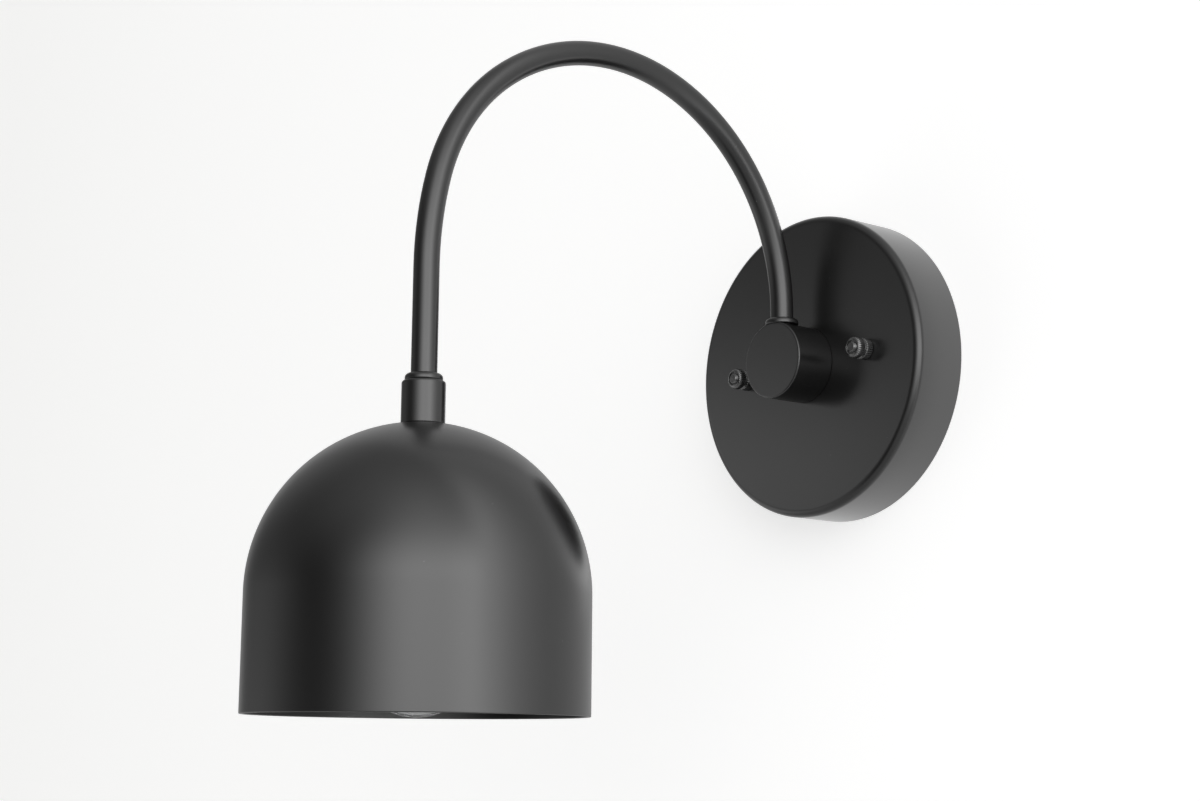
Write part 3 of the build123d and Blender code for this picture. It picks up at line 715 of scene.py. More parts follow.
# Coupler: a turned cylinder, bored from above for the arm and from below for the nipple
NIPPLE_SOCKET = 6.0
coupler_foot, coupler_length = hanging_stretch("coupler")
coupler_line = rounded(
    [
        (coupler_radius, 0),
        (coupler_radius, coupler_length),
        (ARM_ROOM, coupler_length),
        (ARM_ROOM, coupler_length - ARM_SOCKET),
        (WIREWAY, coupler_length - ARM_SOCKET),
        (WIREWAY, NIPPLE_SOCKET),
        (NIPPLE_ROOM, NIPPLE_SOCKET),
        (NIPPLE_ROOM, 0),
    ],
    [0.4, 1.1, 0, 0, 0, 0, 0, 0],
)
build("shade_coupler", "black_coat", "root", "coupler", lathe(coupler_foot, coupler_line, 128))

# Shade: a ball's cap on a straight skirt, with a small flat on top
FLAT_RADIUS, RIM_EDGE, SKIRT_ROWS = 7.5, 0.35, 12
shade_rim, shade_top = levels("shade")
spring = shade_top - math.sqrt(shade_radius**2 - FLAT_RADIUS**2)


def dome(radius, flat):
    """An arc from where the skirt ends up to the small flat: radius (cos a, sin a)."""
    a = np.linspace(0, math.acos(flat / radius), 72)
    return np.stack([radius * np.cos(a), spring + radius * np.sin(a)], 1)


outer_dome = dome(shade_radius, FLAT_RADIUS)
inner_radius = shade_radius - SHEET
inner_flat = math.sqrt(inner_radius**2 - (shade_top - SHEET - spring) ** 2)
inner_dome = dome(inner_radius, inner_flat)[::-1]
rim_corners = [
    (inner_radius, spring),
    (inner_radius, shade_rim),
    (shade_radius, shade_rim),
    (shade_radius, spring),
]
rim = rounded(rim_corners, [0, RIM_EDGE, RIM_EDGE, 0], 5, False)[1:-1]
skirt_rows = np.linspace(0.04, 0.96, SKIRT_ROWS)[:, None]
skirt_out = rim[-1] + skirt_rows * (outer_dome[0] - rim[-1])
skirt_in = inner_dome[-1] + skirt_rows * (rim[0] - inner_dome[-1])
mouth = [(NIPPLE_HOLE + 0.3, shade_top), (NIPPLE_HOLE, shade_top), (NIPPLE_HOLE, shade_top - SHEET)]
shade_line = np.concatenate([rim, skirt_out, outer_dome, mouth, inner_dome, skirt_in])
build("spun_shade", "black_coat", "root", "shade", lathe(hanging_zero, shade_line, 320))

# Thumb nuts: a knurled barrel on the canopy, a neck, and a knurled nose with a sunk face
KNURLS, COLUMNS_A_KNURL = 28, 8
STUD_ROOM = STUD_RADIUS + FIT
NUT_ROWS = [  # radius, height and depth of the knurl
    (STUD_ROOM, 0, 0),
    (3.9, 0, 0),
    (4.15, 0.12, 0),
    (4.4, 0.3, 0.34),
    (4.4, 3.15, 0.34),
    (4.15, 3.4, 0.1),
    (3.5, 3.6, 0),
    (3.4, 3.7, 0),
    (3.4, 4.45, 0),
    (3.5, 4.6, 0),
    (4.05, 4.68, 0),
    (4.3, 4.85, 0.15),
    (4.4, 5.1, 0.3),
    (4.4, 6.6, 0.3),
    (4.3, 7.1, 0.24),
    (4.05, 7.6, 0.14),
    (3.7, 7.95, 0.05),
    (3.3, 8.15, 0),
    (3.1, 8.2, 0),
    (3.0, 8.12, 0),
    (2.95, 7.6, 0),
    (2.85, 7.5, 0),
    (STUD_ROOM, 7.5, 0),
]


def thumb_nut(name, spot, node):
    """A turned nut whose knurl is a ripple: r = radius - depth (1 - |sin|), with the sine sharpened."""
    t = angles(KNURLS * COLUMNS_A_KNURL)
    ridge = np.abs(np.sin(t * KNURLS / 2)) ** 0.7
    radius, height, depth = (np.array(column)[:, None] for column in zip(*NUT_ROWS))
    surface = turned(spot, radius - depth * (1 - ridge), height, len(t))
    build(name, "black_plate", node, node, surface)


for side_name, stud_spot in zip(("left", "right"), stud_spots):
    nut_spot = wall_spot(stud_spot.origin[0], stud_spot.origin[2], canopy_depth)
    thumb_nut(f"knurled_nut_{side_name}", nut_spot, f"thumb_nut_{side_name}")

# Studs: machine screws
STUD_DEPTH, STUD_CHAMFER = 0.42, 0.4
stud_length = -extent("mounting_studs")[0][1]
stud_sizes = STUD_RADIUS, STUD_DEPTH, MACHINE_PITCH, stud_length, 24, STUD_CHAMFER
stud_threads = [thread(spot, *stud_sizes) for spot in stud_spots]
build("threaded_studs", "black_plate", "root", "mounting_studs", *stud_threads)

# ---------------------------------------- what the canopy hides
# Crossbar: a flat strap with round ends, and its holes by their distance from its middle
BAR_HALF, BAR_END, BAR_SHEET = 42.5, 9.5, 2.0
BOX_SCREWS, BOX_SCREW_HOLE = 44.45, 2.4
SLOTS, SLOT_HALF = 24.0, 2.6
GROUND_SCREW, GROUND_HOLE, GROUND_RADIUS = -12.0, 2.45, 2.4
THROUGH_BAR = (-1, 3)  # the lowest and highest level of its cutters
bar_spot = Spot((0, 0, 0), -Y, stud_way)


def on_bar(across):
    return Spot(across * bar_spot.zero, -Y, bar_spot.zero)


def slot_cutter(spot):
    low, high = THROUGH_BAR
    rows = [0, BOX_SCREW_HOLE, BOX_SCREW_HOLE, 0], [low, low, high, high]
    return stadium(spot, SLOT_HALF, *rows, 64)


bar_rows = flat_rows(BAR_END, 0, BAR_SHEET, 0.3)
crossbar_strap = make_piece("crossbar_strap", stadium(bar_spot, BAR_HALF, *bar_rows, 120))
cut(
    crossbar_strap,
    drill(bar_spot, NIPPLE_HOLE, *THROUGH_BAR),
    *[drill(on_bar(side * STUD_REACH), STUD_ROOM, *THROUGH_BAR) for side in (-1, 1)],
    *[drill(on_bar(side * BOX_SCREWS), BOX_SCREW_HOLE, *THROUGH_BAR) for side in (-1, 1)],
    drill(on_bar(GROUND_SCREW), GROUND_HOLE, *THROUGH_BAR),
    *[slot_cutter(on_bar(side * SLOTS)) for side in (-1, 1)],
)
dress(crossbar_strap, "zinc_steel", "root", "crossbar")

# Ground screw: a crowned head with a slot, on a threaded shank
HEAD_RADIUS, HEAD_FOOT, HEAD_TOP = 4.5, 4.2, 6.6
SLOT_FLOOR, SLOT_TURN, BLADE_HALF, BLADE_RADIUS, BLADE_DEPTH = 5.4, 0.6, 9.0, 0.6, 4
screw_spot = on_bar(GROUND_SCREW)
head_corners = [(0, HEAD_FOOT), (HEAD_RADIUS, HEAD_FOOT), (HEAD_RADIUS, HEAD_TOP), (0, HEAD_TOP)]
head_line = rounded(head_corners, [0, 0.15, 0.9, 0], 6, False)
green_screw = make_piece("green_screw", lathe(screw_spot, head_line, 72, False))
blade = Spot(screw_spot.at(0, 0, SLOT_FLOOR), -Y, (math.cos(SLOT_TURN), 0, math.sin(SLOT_TURN)))
blade_rows = [0, BLADE_RADIUS, BLADE_RADIUS, 0], [0, 0, BLADE_DEPTH, BLADE_DEPTH]
cut(green_screw, stadium(blade, BLADE_HALF, *blade_rows, 8))
shank_thread = thread(screw_spot, GROUND_RADIUS, 0.4, MACHINE_PITCH, HEAD_FOOT + 0.1, 32, 0.4)
join(green_screw, make_piece("shank", shank_thread))
dress(green_screw, "green_steel", "root", "ground_screw")


def nipple(name, node, stretch):
    """A length of pipe with a thread of NIPPLE_DEPTH, its ends chamfered as deep."""
    spot, length = stretch(node)
    sizes = NIPPLE_RADIUS, NIPPLE_DEPTH, NIPPLE_PITCH, length, 64, NIPPLE_DEPTH, NIPPLE_BORE
    surface = thread(spot, *sizes)
    build(name, "zinc_steel", "root", node, surface)


HEX_HALF = 7.15  # from the axis to a flat
CONE_FOOT, CONE_SLOPE, CONE_ROWS, BORE_EDGE = 7.35, 1.7, 0.75, 0.35


def hex_nut(name, node, stretch):
    """Hexagon r = half flats / cos(angle from the flat's middle), held in by a cone at each face."""
    spot, thickness = stretch(node)
    t = angles(96)
    flat = HEX_HALF / np.cos((t + TURN / 12) % (TURN / 6) - TURN / 12)
    foot_rows, top_rows = np.linspace(0, CONE_ROWS, 6), np.linspace(thickness - CONE_ROWS, thickness, 6)
    h = np.concatenate([foot_rows, top_rows])[:, None]
    outside = np.minimum(flat, CONE_FOOT + CONE_SLOPE * np.minimum(h, thickness - h))
    wide = NIPPLE_ROOM + BORE_EDGE
    inner = np.array([[wide], [NIPPLE_ROOM], [NIPPLE_ROOM], [wide]]) + 0 * t
    inner_h = np.array([[thickness], [thickness - BORE_EDGE], [BORE_EDGE], [0]])
    surface = turned(spot, np.concatenate([outside, inner]), np.concatenate([h, inner_h]) + 0 * t)
    build(name, "zinc_steel", "root", node, surface)


nipple("canopy_pipe", "canopy_nipple", wall_stretch)
nipple("shade_pipe", "shade_nipple", hanging_stretch)
hex_nut("canopy_hex_nut", "canopy_locknut", wall_stretch)
hex_nut("shade_hex_nut", "shade_locknut", hanging_stretch)


def lock_washer(name, node):
    """A flat ring whose outer part is cut into teeth. Each tooth's faces rise along it by the twist."""
    teeth, gap_share, twist, face = 12, 0.19, 0.3, 0.15
    tooth_root, tooth_end, notch = 6.5, 8.0, 1.4
    spot, thickness = wall_stretch(node)
    t = angles(288)
    along = (t * teeth / TURN) % 1.0 - 0.5
    gap = (np.abs(along) > 0.5 - gap_share).astype(float)
    bore, root, end = NIPPLE_HOLE + 0 * t, tooth_root + 0 * t, tooth_end - notch * gap
    lift = twist * along * (1 - gap)
    low, high = face + 0 * t, thickness - face + 0 * t
    r = np.stack([bore, root, end, end, root, bore])
    h = np.stack([low, low, low + lift, high + lift, high, high])
    build(name, "zinc_steel", "root", node, turned(spot, r, h, len(t)))


lock_washer("toothed_washer", "canopy_lock_washer")

# ---------------------------------------- socket
# Flat washer, under the nut that holds the shade
washer_foot, washer_top = levels("shade_washer")
washer_radius = reach("shade_washer")
washer_corners = [
    (NIPPLE_HOLE, washer_foot),
    (washer_radius, washer_foot),
    (washer_radius, washer_top),
    (NIPPLE_HOLE, washer_top),
]
washer_line = rounded(washer_corners, [0.1, 0.3, 0.1, 0.1], 4)
build("flat_washer", "zinc_steel", "root", "shade_washer", lathe(hanging_zero, washer_line))

# Socket cap: a moulded cup, with a boss inside its top for the nipple
cap_mouth, cap_top = levels("socket_cap")
socket_radius = reach("socket_cap")
BOSS_RADIUS, BOSS_DEPTH, ROOF, SOCKET_WALL = 7.5, 6, 3, 2.5
cap_inside = socket_radius - SOCKET_WALL
cap_line = rounded(
    [
        (socket_radius, cap_mouth),
        (socket_radius, cap_top),
        (NIPPLE_ROOM, cap_top),
        (NIPPLE_ROOM, cap_top - BOSS_DEPTH),
        (BOSS_RADIUS, cap_top - BOSS_DEPTH),
        (BOSS_RADIUS, cap_top - ROOF),
        (cap_inside, cap_top - ROOF),
        (cap_inside, cap_mouth),
    ],
    [0.3, 2.0, 0.3, 0, 0.4, 0.6, 0.8, 0],
)
build("moulded_cap", "phenolic", "root", "socket_cap", lathe(hanging_zero, cap_line, 240))

# Socket body: a spigot that fits the cap, a partition, and room for the screw shell below it
socket_foot, socket_top = levels("socket_body")
shell_foot, partition_foot = levels("socket_screw_shell")
post_foot, lug_top = levels("socket_terminals")
FOOT_BAND, CAP_BAND, WAIST, PARTITION = 4.0, 2.0, 0.5, 4.0
RIVETS, RIVET_HOLE = (-4.5, 9.0), 1.25
partition_top = post_foot + PARTITION
spigot = cap_inside - FIT
chamber = socket_radius - 2 * SOCKET_WALL
shell_room = reach("socket_screw_shell") + FIT
body_line = rounded(
    [
        (socket_radius, socket_foot),
        (socket_radius, socket_foot + FOOT_BAND),
        (socket_radius - WAIST, socket_foot + FOOT_BAND + WAIST),
        (socket_radius - WAIST, cap_mouth - CAP_BAND - WAIST),
        (socket_radius, cap_mouth - CAP_BAND),
        (socket_radius, cap_mouth),
        (spigot, cap_mouth),
        (spigot, socket_top),
        (chamber, socket_top),
        (chamber, partition_top),
        (0, partition_top),
        (0, partition_foot),
        (shell_room, partition_foot),
        (shell_room, socket_foot),
    ],
    [0.8, 0.15, 0.15, 0.15, 0.15, 0.3, 0, 0.3, 0.3, 0.5, 0, 0, 0, 0.6],
    5,
)
moulded_body = make_piece("moulded_body", lathe(hanging_zero, body_line, 144))
rivet_hole = RIVET_HOLE, partition_foot - 1, partition_top + 1, 32
cut(moulded_body, *[drill(hanging(0, x), *rivet_hole) for x in RIVETS])
dress(moulded_body, "phenolic", "root", "socket_body")

# The screw shell and the bulb's cap carry one rounded thread, seven turns to the inch, in step
HALF_WAVE = 0.4


def rolled(z, low, high, ease):
    """The thread's wave -1 to 1 at height z and angle t, faded out over ease at both ends."""
    t = angles(96)
    painted_fade_high_up = np.clip((z - low) / ease, 0, 1) * np.clip((high - z) / ease, 0, 1)
    painted_fade_high_up = painted_fade_high_up * painted_fade_high_up * (3 - 2 * painted_fade_high_up)
    return painted_fade_high_up * np.cos(TURN * z / BULB_PITCH - t)


def rows_of(line):
    return line[:, :1], line[:, 1:]


def stacked(spot, *bands):
    """A surface turned from bands, each a pair of radii and heights that may change with the angle."""
    columns = 96
    r, h = ([np.broadcast_to(band[part], (len(band[1]), columns)) for band in bands] for part in (0, 1))
    return turned(spot, np.concatenate(r), np.concatenate(h), columns)


def screw_shell_surface(foot, top):
    """The thread's wall, out and back at one thickness, and a lip turned in over its top."""
    bore_mean, outside, lip_bore, lip_outside, lip_height = 13.0, 13.8, 7.5, 13.2, 1.2
    z = np.linspace(foot, top - lip_height, 110)[:, None]
    bore = bore_mean + HALF_WAVE * rolled(z, foot + 0.4, top - 1.8, 1.2)
    thick = 0.4
    lip = [(outside, top - lip_height), (outside, top), (lip_bore, top)]
    lip = rounded(lip, [0, 0.9, 0], 5, False)[1:]
    under = [(lip_bore, top - thick), (lip_outside, top - thick), (lip_outside, top - lip_height)]
    under = rounded(under, [0, 0.6, 0], 5, False)[:-1]
    outer_wall = np.minimum(bore + thick, outside), z
    return stacked(hanging_zero, outer_wall, rows_of(lip), rows_of(under), (bore[::-1], z[::-1]))


shell_surface = screw_shell_surface(shell_foot, partition_foot)
build("screw_shell", "brass", "root", "socket_screw_shell", shell_surface)

# Contact: a spring tongue bent down from the partition
TONGUE_HALF_WIDTH, TONGUE_HALF_THICK = 2.5, 0.25
tongue_top = partition_foot - TONGUE_HALF_THICK
tongue_foot = extent("socket_contact")[0][2] + TONGUE_HALF_THICK
tongue_corners = [(-6.3, tongue_top), (-2.0, tongue_top), (0.0, tongue_foot), (3.0, tongue_foot)]
tongue = rounded(tongue_corners, [0, 0.8, 0.8, 0], 5, False)
tongue_path = np.stack([tongue[:, 0], shade_y + 0 * tongue[:, 0], tongue[:, 1]], 1)
tongue_surface = strip(tongue_path, TONGUE_HALF_WIDTH, TONGUE_HALF_THICK, Y)
build("spring_tongue", "brass", "root", "socket_contact", tongue_surface)

# Terminals: a flat lug from each rivet to where its lead lands, and the rivet's post
LUG_END, LUG_THICK, POST_RADIUS, LEAD_LAND = 2.5, 0.8, 1.2, 7.5
lug_rows = flat_rows(LUG_END, lug_top - LUG_THICK, lug_top, 0.12)
lugs = []
for rivet_x, land_x in zip(RIVETS, (-LEAD_LAND, LEAD_LAND)):
    middle = hanging(0, (rivet_x + land_x) / 2)
    lugs.append(stadium(middle, abs(rivet_x - land_x) / 2, *lug_rows, 64))
    lugs.append(drill(hanging(0, rivet_x), POST_RADIUS, partition_foot, partition_top, 32))
build("riveted_lugs", "brass", "root", "socket_terminals", *lugs)

# ---------------------------------------- bulb
# Solder tip: a lens with a full shoulder, r = 4.4 cos(a)^0.6 at height sin(a)^0.8
TIP_RADIUS = 4.4
tip_foot, tip_top = levels("bulb_contact")
tip_a = np.linspace(0, math.pi / 2, 14)
tip_r = np.concatenate([[0], TIP_RADIUS * np.cos(tip_a) ** 0.6])
tip_h = np.concatenate([[tip_foot], tip_foot + (tip_top - tip_foot) * np.sin(tip_a) ** 0.8])
build("solder_tip", "solder", "bulb_tip", "bulb_contact", turned(hanging_zero, tip_r, tip_h, 64, False))

# Black glass: from its small end on top, r = 5 + 5.12 share^0.85 down to its wide end
button_foot, button_top = levels("bulb_insulator")
share = np.linspace(0, 1, 16)
button_side = 5.0 + 5.12 * share**0.85
button_sag = 0.1 * np.sin(share * math.pi)
button_drop = button_top - (button_top - button_foot) * share - button_sag
button_r = np.concatenate([[0, 4.6], button_side, [0]])
button_h = np.concatenate([[button_top, button_top], button_drop, [button_foot]])
button_surface = turned(hanging_zero, button_r, button_h, 96, False)
build("glass_button", "black_glass", "bulb_tip", "bulb_insulator", button_surface)


def screw_cap_surface(foot, top):
    """A plain skirt, the thread and a shoulder, out and back at one thickness."""
    sheet, mean, thread_foot, thread_top = 0.35, 12.65, foot + 8.0, top - 2.0
    z = np.linspace(thread_foot, thread_top, 90)[:, None]
    wall = mean + HALF_WAVE * rolled(z, foot + 8.4, top - 2.1, 1.4)
    skirt_radius, bead_radius = 12.85, 13.05
    skirt = [
        (mean, thread_foot),
        (skirt_radius, foot + 6.8),
        (skirt_radius, foot + 0.8),
        (bead_radius, foot + 0.5),
        (bead_radius, foot),
    ]
    skirt = rounded(skirt, [0, 0.8, 0.3, 0.1, 0], 4, False)
    shoulder = rounded([(mean, thread_top), (12.3, top), (10.2, top)], [0, 1.2, 0], 8, False)[1:]
    return stacked(
        hanging_zero,
        rows_of(skirt[::-1]),
        (wall, z),
        rows_of(shoulder),
        rows_of(shoulder[::-1] - [sheet, sheet]),
        (wall[::-1] - sheet, z[::-1]),
        rows_of(skirt - [sheet, 0]),
    )


build("threaded_cap", "nickel", "bulb", "bulb_screw_cap", screw_cap_surface(*levels("bulb_screw_cap")))

# Globe: a ball that runs into its neck by an arc curved the other way
GLOBE, NECK, FLARE, GLASS_WALL = 22.5, 12.2, 10.0, 0.8
globe_foot, neck_top = levels("bulb_glass")
globe_z = globe_foot + GLOBE
flare_height = math.sqrt((GLOBE + FLARE) ** 2 - (NECK + FLARE) ** 2)
flare_angle = math.asin(flare_height / (GLOBE + FLARE))
flare_z = globe_z + flare_height


def globe_line(inset):
    """From the foot of the ball, round it to where the flare starts, along the flare to the neck."""
    a = np.linspace(-math.pi / 2, flare_angle, 60)
    ball = np.stack([(GLOBE - inset) * np.cos(a), globe_z + (GLOBE - inset) * np.sin(a)], 1)
    b = np.linspace(flare_angle, 0, 14)[1:]
    flare = FLARE + inset
    bow = np.stack([NECK + FLARE - flare * np.cos(b), flare_z - flare * np.sin(b)], 1)
    neck = np.linspace(flare_z, neck_top, 8)[1:]
    pipe = np.stack([0 * neck + NECK - inset, neck], 1)
    return np.concatenate([ball, bow, pipe])


globe = np.concatenate([globe_line(0), globe_line(GLASS_WALL)[::-1]])
globe[:, 0] = np.maximum(globe[:, 0], 0)
build("blown_globe", "clear_glass", "bulb", "bulb_glass", lathe(hanging_zero, globe, 128, False))

# Stem: a glass rod that flares into a flange, pinched flat at its foot
stem_foot, stem_top = levels("bulb_stem")
FLANGE_RADIUS = 11.3
stem_line = rounded(
    [
        (0, stem_foot),
        (2.2, stem_foot),
        (2.6, stem_foot + 5),
        (2.2, stem_foot + 10),
        (3.6, stem_top - 6),
        (FLANGE_RADIUS, stem_top - 0.8),
        (FLANGE_RADIUS, stem_top),
        (0, stem_top),
    ],
    [0, 1.2, 3, 5, 5, 0.2, 0.2, 0],
    6,
    False,
)
stem_r, stem_h = rows_of(stem_line)
flatness = 0.35 * np.clip((stem_foot + 9 - stem_h) / 6, 0, 1)
pinched_r = stem_r * (1 - flatness * np.sin(angles(64)) ** 2)
stem_surface = turned(hanging_zero, pinched_r, stem_line[:, 1], 64, False)
build("glass_stem", "stem_glass", "bulb", "bulb_stem", stem_surface)


def support(side):
    """A wire that leaves the stem straight down, bends outwards and goes on to the filament's end."""
    start = (side * 0.6, shade_y, stem_foot + 1.5)
    route = Route(start, -Z).run(1.5).arc(6.0, 14, side * -Y, 2).run(13.0)
    return tube(route.path(), 0.3, Y, columns=14)


build("bent_supports", "support_metal", "bulb", "bulb_support_wires", support(-1), support(1))

# Filament: a helix along X, COIL_RADIUS (cos, sin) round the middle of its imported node
COIL_RADIUS, COIL_WIRE, COIL_TURNS, COIL_INSET = 0.42, 0.1, 26, 0.2
filament_low, filament_high = extent("bulb_filament")
coil_share = np.linspace(0, 1, COIL_TURNS * 12 + 1)
coil_length = filament_high[0] - filament_low[0] - 2 * COIL_INSET
coil_x = filament_low[0] + COIL_INSET + coil_share * coil_length
coil_y = shade_y + COIL_RADIUS * np.cos(TURN * COIL_TURNS * coil_share)
coil_z = (filament_low[2] + filament_high[2]) / 2 + COIL_RADIUS * np.sin(TURN * COIL_TURNS * coil_share)
coil = np.stack([coil_x, coil_y, coil_z], 1)
build("filament_coil", "filament", "bulb", "bulb_filament", tube(coil, COIL_WIRE, X, columns=8))

# ---------------------------------------- leads and connectors
LEAD_RADIUS, LEAD_SIDE, LEAD_BACK = 1.1, 1.15, 12.0
TAIL, TAIL_BEND, HUB_BEND, SWAY_RADIUS = 32.0, 6.6, 8.0, 8.0
LEADS = [("black", -1, 250), ("white", 1, 290)]  # colour, side, and its tail's direction in degrees
bend_end_z = arm_route.parts[-3][-1][2]


def toward(degrees):
    """A direction on the wall, from +X towards +Z."""
    return np.array([math.cos(math.radians(degrees)), 0, math.sin(math.radians(degrees))])


def lead_corner(side):
    """Where a lead turns out of its run along the wall, inside the canopy."""
    return np.array([side * LEAD_SIDE, -LEAD_BACK, 0.0])


def through_lead(side, angle):
    """From its connector, along the wall, out through the hub, over the arm and down to its lug.

    Two arcs of radius R carry it sideways by s, in a drop of the root of s (4 R - s).
    """
    way = toward(angle)
    route = Route(lead_corner(side) + TAIL * way, -way).run(TAIL - TAIL_BEND).corner(TAIL_BEND, -Y)
    route.run(-arm_stand_off - LEAD_BACK - TAIL_BEND - HUB_BEND).corner(HUB_BEND, Z)
    route.run(BEND_START - HUB_BEND)
    for radius, turn in BENDS:
        route.arc(radius, turn, X, 2.5)
    shift = LEAD_LAND - LEAD_SIDE
    drop = math.sqrt(shift * (4 * SWAY_RADIUS - shift))
    sway = math.degrees(math.acos(1 - shift / (2 * SWAY_RADIUS)))
    route.run(bend_end_z - lug_top - drop)
    route.arc(SWAY_RADIUS, sway, side * -Y, 6).arc(SWAY_RADIUS, sway, side * Y, 6)
    return route.path()


for colour, side, angle in LEADS:
    surface = tube(through_lead(side, angle), LEAD_RADIUS, X, columns=20)
    build(f"{colour}_lead", f"lead_{colour}", "root", f"lead_{colour}", surface)

ground_way = toward(205)
under_head, ground_back = screw_spot.origin - 3.1 * Y, screw_spot.origin - LEAD_BACK * Y
ground_corners = [
    under_head + 2.45 * ground_way,
    under_head + 9.0 * ground_way,
    ground_back + 21.0 * ground_way,
    ground_back + 38.0 * ground_way,
]
ground_path = rounded(ground_corners, [0, TAIL_BEND, TAIL_BEND, 0], 8, False)
ground_surface = tube(ground_path, LEAD_RADIUS, np.cross(ground_way, Y), columns=20)
build("ground_lead", "lead_green", "root", "lead_ground", ground_surface)


def twist_on(mouth, way):
    """A closed cap: a wide mouth, twelve ribs that fade at both ends, and a rounded tip."""
    mouth_radius, tip, ribs, rib_depth = 5.3, 19.0, 12, 0.5
    t = angles(12 * ribs)
    line = rounded(
        [
            (0, 8.0),
            (1.2, 8.0),
            (1.2, 0),
            (mouth_radius, 0),
            (mouth_radius, 1.6),
            (4.9, 2.4),
            (3.2, tip),
            (0, tip),
        ],
        [0, 0, 0.3, 0.4, 0.4, 0.8, 1.6, 0],
        5,
        False,
    )
    r, h = rows_of(line)
    painted_fade_high_up = np.clip(h - 2.2, 0, 1) * np.clip((tip - 0.4 - h) / 2, 0, 1) * (r > 2)
    rib = rib_depth * painted_fade_high_up * (0.5 - 0.5 * np.cos(ribs * t)) ** 2
    return turned(Spot(mouth, way, Y), r - rib, line[:, 1], len(t), False)


connectors = [twist_on(ground_back + 30.0 * ground_way, ground_way)]
for _, side, angle in LEADS:
    connectors.append(twist_on(lead_corner(side) + 24.0 * toward(angle), toward(angle)))
build("twist_caps", "connector", "root", "wire_connectors", *connectors)

# ---------------------------------------- room, in metres
WALL_HALF, FLOOR_Z, ROOM_DEPTH, WALL_GAP = 3.0, -1.6, 6.0, 0.0002
PAINT = 0.65  # the share of the lamps' light that the wall and floor give back
PAINT_DIMMED_IN_REFLECTIONS = 0.22  # the same, as glossy surfaces see it: lower, a painted dimming of the wall and floor in reflections


def backdrop(name, corners, seen_tone, mirrored_tone):
    """A flat sheet that shows from its front only, and lets light through from behind the object.

    The camera and clear glass see one tone, and glossy surfaces see another.
    """
    mesh = bpy.data.meshes.new(name)
    mesh.from_pydata(corners, [], [(0, 1, 2, 3)])
    sheet = bpy.data.objects.new(name, mesh)
    bpy.context.scene.collection.objects.link(sheet)
    material = bpy.data.materials.new(name)
    material.use_nodes = True
    bench = Bench(material.node_tree)
    ray = "ShaderNodeLightPath"
    camera = bench.node(ray, output="Is Camera Ray")
    glossy = bench.node(ray, output="Is Glossy Ray")
    through = bench.node(ray, output="Is Transmission Ray")
    behind = bench.node("ShaderNodeNewGeometry", output="Backfacing")
    shown = (camera + glossy + through) * (1 - behind)
    colour = bench.blend(glossy, seen_tone(bench), mirrored_tone(bench))
    glow = bench.node("ShaderNodeEmission", None, {"Color": colour, "Strength": 1.0})
    # Glossy rays see the paint's light dimmed, a painted reflection
    given_back = bench.blend(glossy, tone(PAINT), tone(PAINT_DIMMED_IN_REFLECTIONS))
    paint = bench.node("ShaderNodeBsdfDiffuse", None, {"Color": given_back})
    both = bench.node("ShaderNodeAddShader", None, {0: glow, 1: paint})
    clear = bench.node("ShaderNodeBsdfTransparent")
    bench.end(bench.node("ShaderNodeMixShader", None, {0: shown, 1: clear, 2: both}))
    sheet.data.materials.append(material)


def across_wall(bench, low, high, dark, light):
    """A tone that runs along the wall from one x to another."""
    return bench.blend(bench.place_along("X").within(low, high), dark, light)


# Painted light: the wall the camera sees is painted darker at the left and brighter at the right, a
# painted falloff of the light from the right
def wall_seen_painted_falloff(bench):
    return across_wall(bench, -0.9, 0.35, tone(0.538, 0.538, 0.529), tone(0.697))


def wall_painted_reflection(bench):
    """Painted reflection: quiet at the far left, brighter to the far right, less so high up, and a
    painted pool of light by the canopy.
    """
    left = across_wall(bench, -1.4, -0.6, tone(0.28), tone(0.50))
    right = across_wall(bench, 0.18, 0.75, tone(0.0), tone(1.20))
    far_right = across_wall(bench, 0.75, 3.0, tone(0.0), tone(0.80))
    # painted fade of the reflected wall higher up
    painted_fade_high_up = bench.blend(bench.place_along("Z").within(0.6, 1.8), tone(1.0), tone(0.3))
    from_canopy = bench.vectors("LENGTH", bench.place(), output="Value")
    # painted pool of light on the wall round the canopy, for the canopy's rim to reflect
    painted_glow_by_canopy = bench.blend(from_canopy.within(0.105, 0.075), tone(0.0), tone(0.62))
    bright = bench.vectors("MULTIPLY", bench.vectors("ADD", right, far_right), painted_fade_high_up)
    return bench.vectors("ADD", bench.vectors("ADD", left, bright), painted_glow_by_canopy)


def floor_tone(bench):
    return bench.blend(bench.noise(2, 2), tone(0.30), tone(0.34))


S, D, F, G = WALL_HALF, ROOM_DEPTH, FLOOR_Z, WALL_GAP
backdrop("pale_wall", [(-S, G, -S), (S, G, -S), (S, G, S), (-S, G, S)], wall_seen_painted_falloff, wall_painted_reflection)
backdrop("pale_floor", [(-S, -D, F), (S, -D, F), (S, 0, F), (-S, 0, F)], floor_tone, floor_tone)

# ---------------------------------------- light
# Soft bright lobes all round. Each row is azimuth from -Y towards +X, height above level, strength
LOBES = [
    (100, 8, 2.95),
    (62, 8, 1.20),
    (45, 8, 1.52),
    (25, 8, 0.28),
    (60, 50, 0.86),
    (-12, 50, 0.34),
    (0, 88, 0.31),
    (130, 30, 0.50),
    (-50, 8, 0.16),
    (-52, -28, 0.75),
    (-80, -30, 0.60),
    (-110, 20, 0.14),
    (-90, 45, 0.32),
]
LOBE_SHARPNESS = 10


def lobe(bench, facing, azimuth, height, strength):
    """A glow of strength cos(angle from its middle)^LOBE_SHARPNESS."""
    az, el = math.radians(azimuth), math.radians(height)
    way = (math.sin(az) * math.cos(el), -math.cos(az) * math.cos(el), math.sin(el))
    along = bench.vectors("DOT_PRODUCT", facing, way, "Value")
    return along.sum("MAXIMUM", along, 0.0) ** LOBE_SHARPNESS * strength


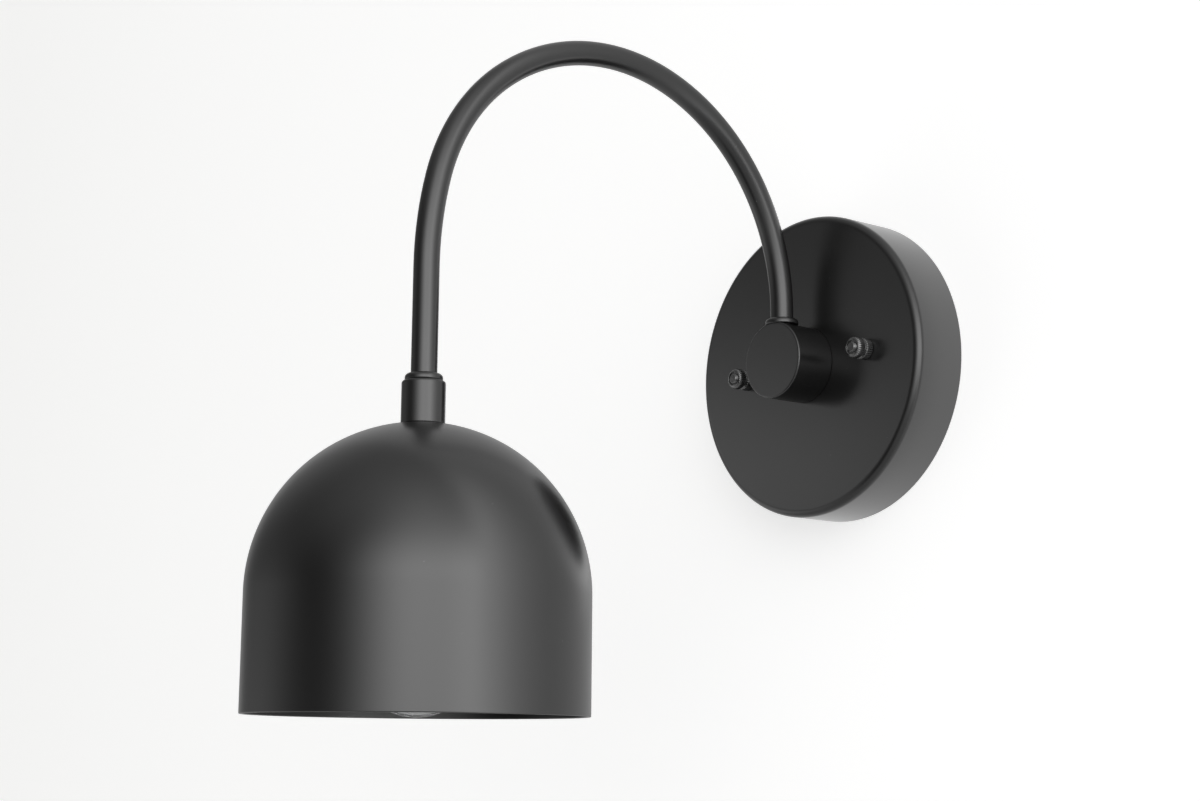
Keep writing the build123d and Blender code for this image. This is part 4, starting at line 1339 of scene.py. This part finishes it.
world = bpy.data.worlds.new("room")
bpy.context.scene.world = world
world.use_nodes = True
bench = Bench(world.node_tree)
facing = bench.node("ShaderNodeTexCoord", output="Generated")
total = lobe(bench, facing, *LOBES[0])
for row in LOBES[1:]:
    total = total + lobe(bench, facing, *row)
lit = bench.node("ShaderNodeBackground", None, {"Color": tone(1.0), "Strength": total})
plain = bench.node("ShaderNodeBackground", None, {"Color": tone(0.9), "Strength": 1.0})
straight = bench.node("ShaderNodeLightPath", output="Is Camera Ray")
mixed = bench.node("ShaderNodeMixShader", None, {0: straight, 1: lit, 2: plain})
bench.end(mixed, "ShaderNodeOutputWorld")

# A low soft panel to the lamp's left, which lights the canopy and the hub only
PANEL_WIDTH, PANEL_HEIGHT, PANEL_TONE = 0.5, 0.17, 0.75
PANEL_PLACE, PANEL_AIM = Vector((-0.80, -0.66, 0.09)), Vector((0, 0, -0.02))
panel = bpy.data.lights.new("side_panel", "AREA")
panel.shape = "RECTANGLE"
panel.size = PANEL_WIDTH
panel.size_y = PANEL_HEIGHT
panel.energy = PANEL_TONE * math.pi * PANEL_WIDTH * PANEL_HEIGHT
side_panel = bpy.data.objects.new("side_panel", panel)
panel_turn = (PANEL_AIM - PANEL_PLACE).to_track_quat("-Z", "Y")
side_panel.matrix_world = Matrix.Translation(PANEL_PLACE) @ panel_turn.to_matrix().to_4x4()
side_panel.visible_camera = False
side_panel.visible_transmission = False
panel_lit = bpy.data.collections.new("panel_lit")
for piece in (wall_canopy, turned_hub):
    panel_lit.objects.link(piece)
side_panel.light_linking.receiver_collection = panel_lit
bpy.context.scene.collection.objects.link(side_panel)

# ---------------------------------------- camera, in metres
CAMERA_PLACE = (0.6023, -0.6251, -0.1617)
YAW, PITCH, ROLL = (math.radians(angle) for angle in (50.895, 9.804, 0.494))
FOCAL_LENGTH, SENSOR_WIDTH = 61.794, 36.0  # in millimetres
ahead = np.array([-math.sin(YAW) * math.cos(PITCH), math.cos(YAW) * math.cos(PITCH), math.sin(PITCH)])
level = np.array([math.cos(YAW), math.sin(YAW), 0])
upright = np.cross(level, ahead)
right = math.cos(ROLL) * level + math.sin(ROLL) * upright
up = math.cos(ROLL) * upright - math.sin(ROLL) * level
lens = bpy.data.cameras.new("camera")
lens.lens = FOCAL_LENGTH
lens.sensor_width = SENSOR_WIDTH
lens.clip_start = 0.01
camera = bpy.data.objects.new("camera", lens)
camera_turn = Matrix(np.array([right, up, -ahead]).T.tolist())
camera.matrix_world = Matrix.Translation(CAMERA_PLACE) @ camera_turn.to_4x4()
bpy.context.scene.collection.objects.link(camera)
bpy.context.scene.camera = camera

bpy.context.scene.view_settings.view_transform = "Standard"
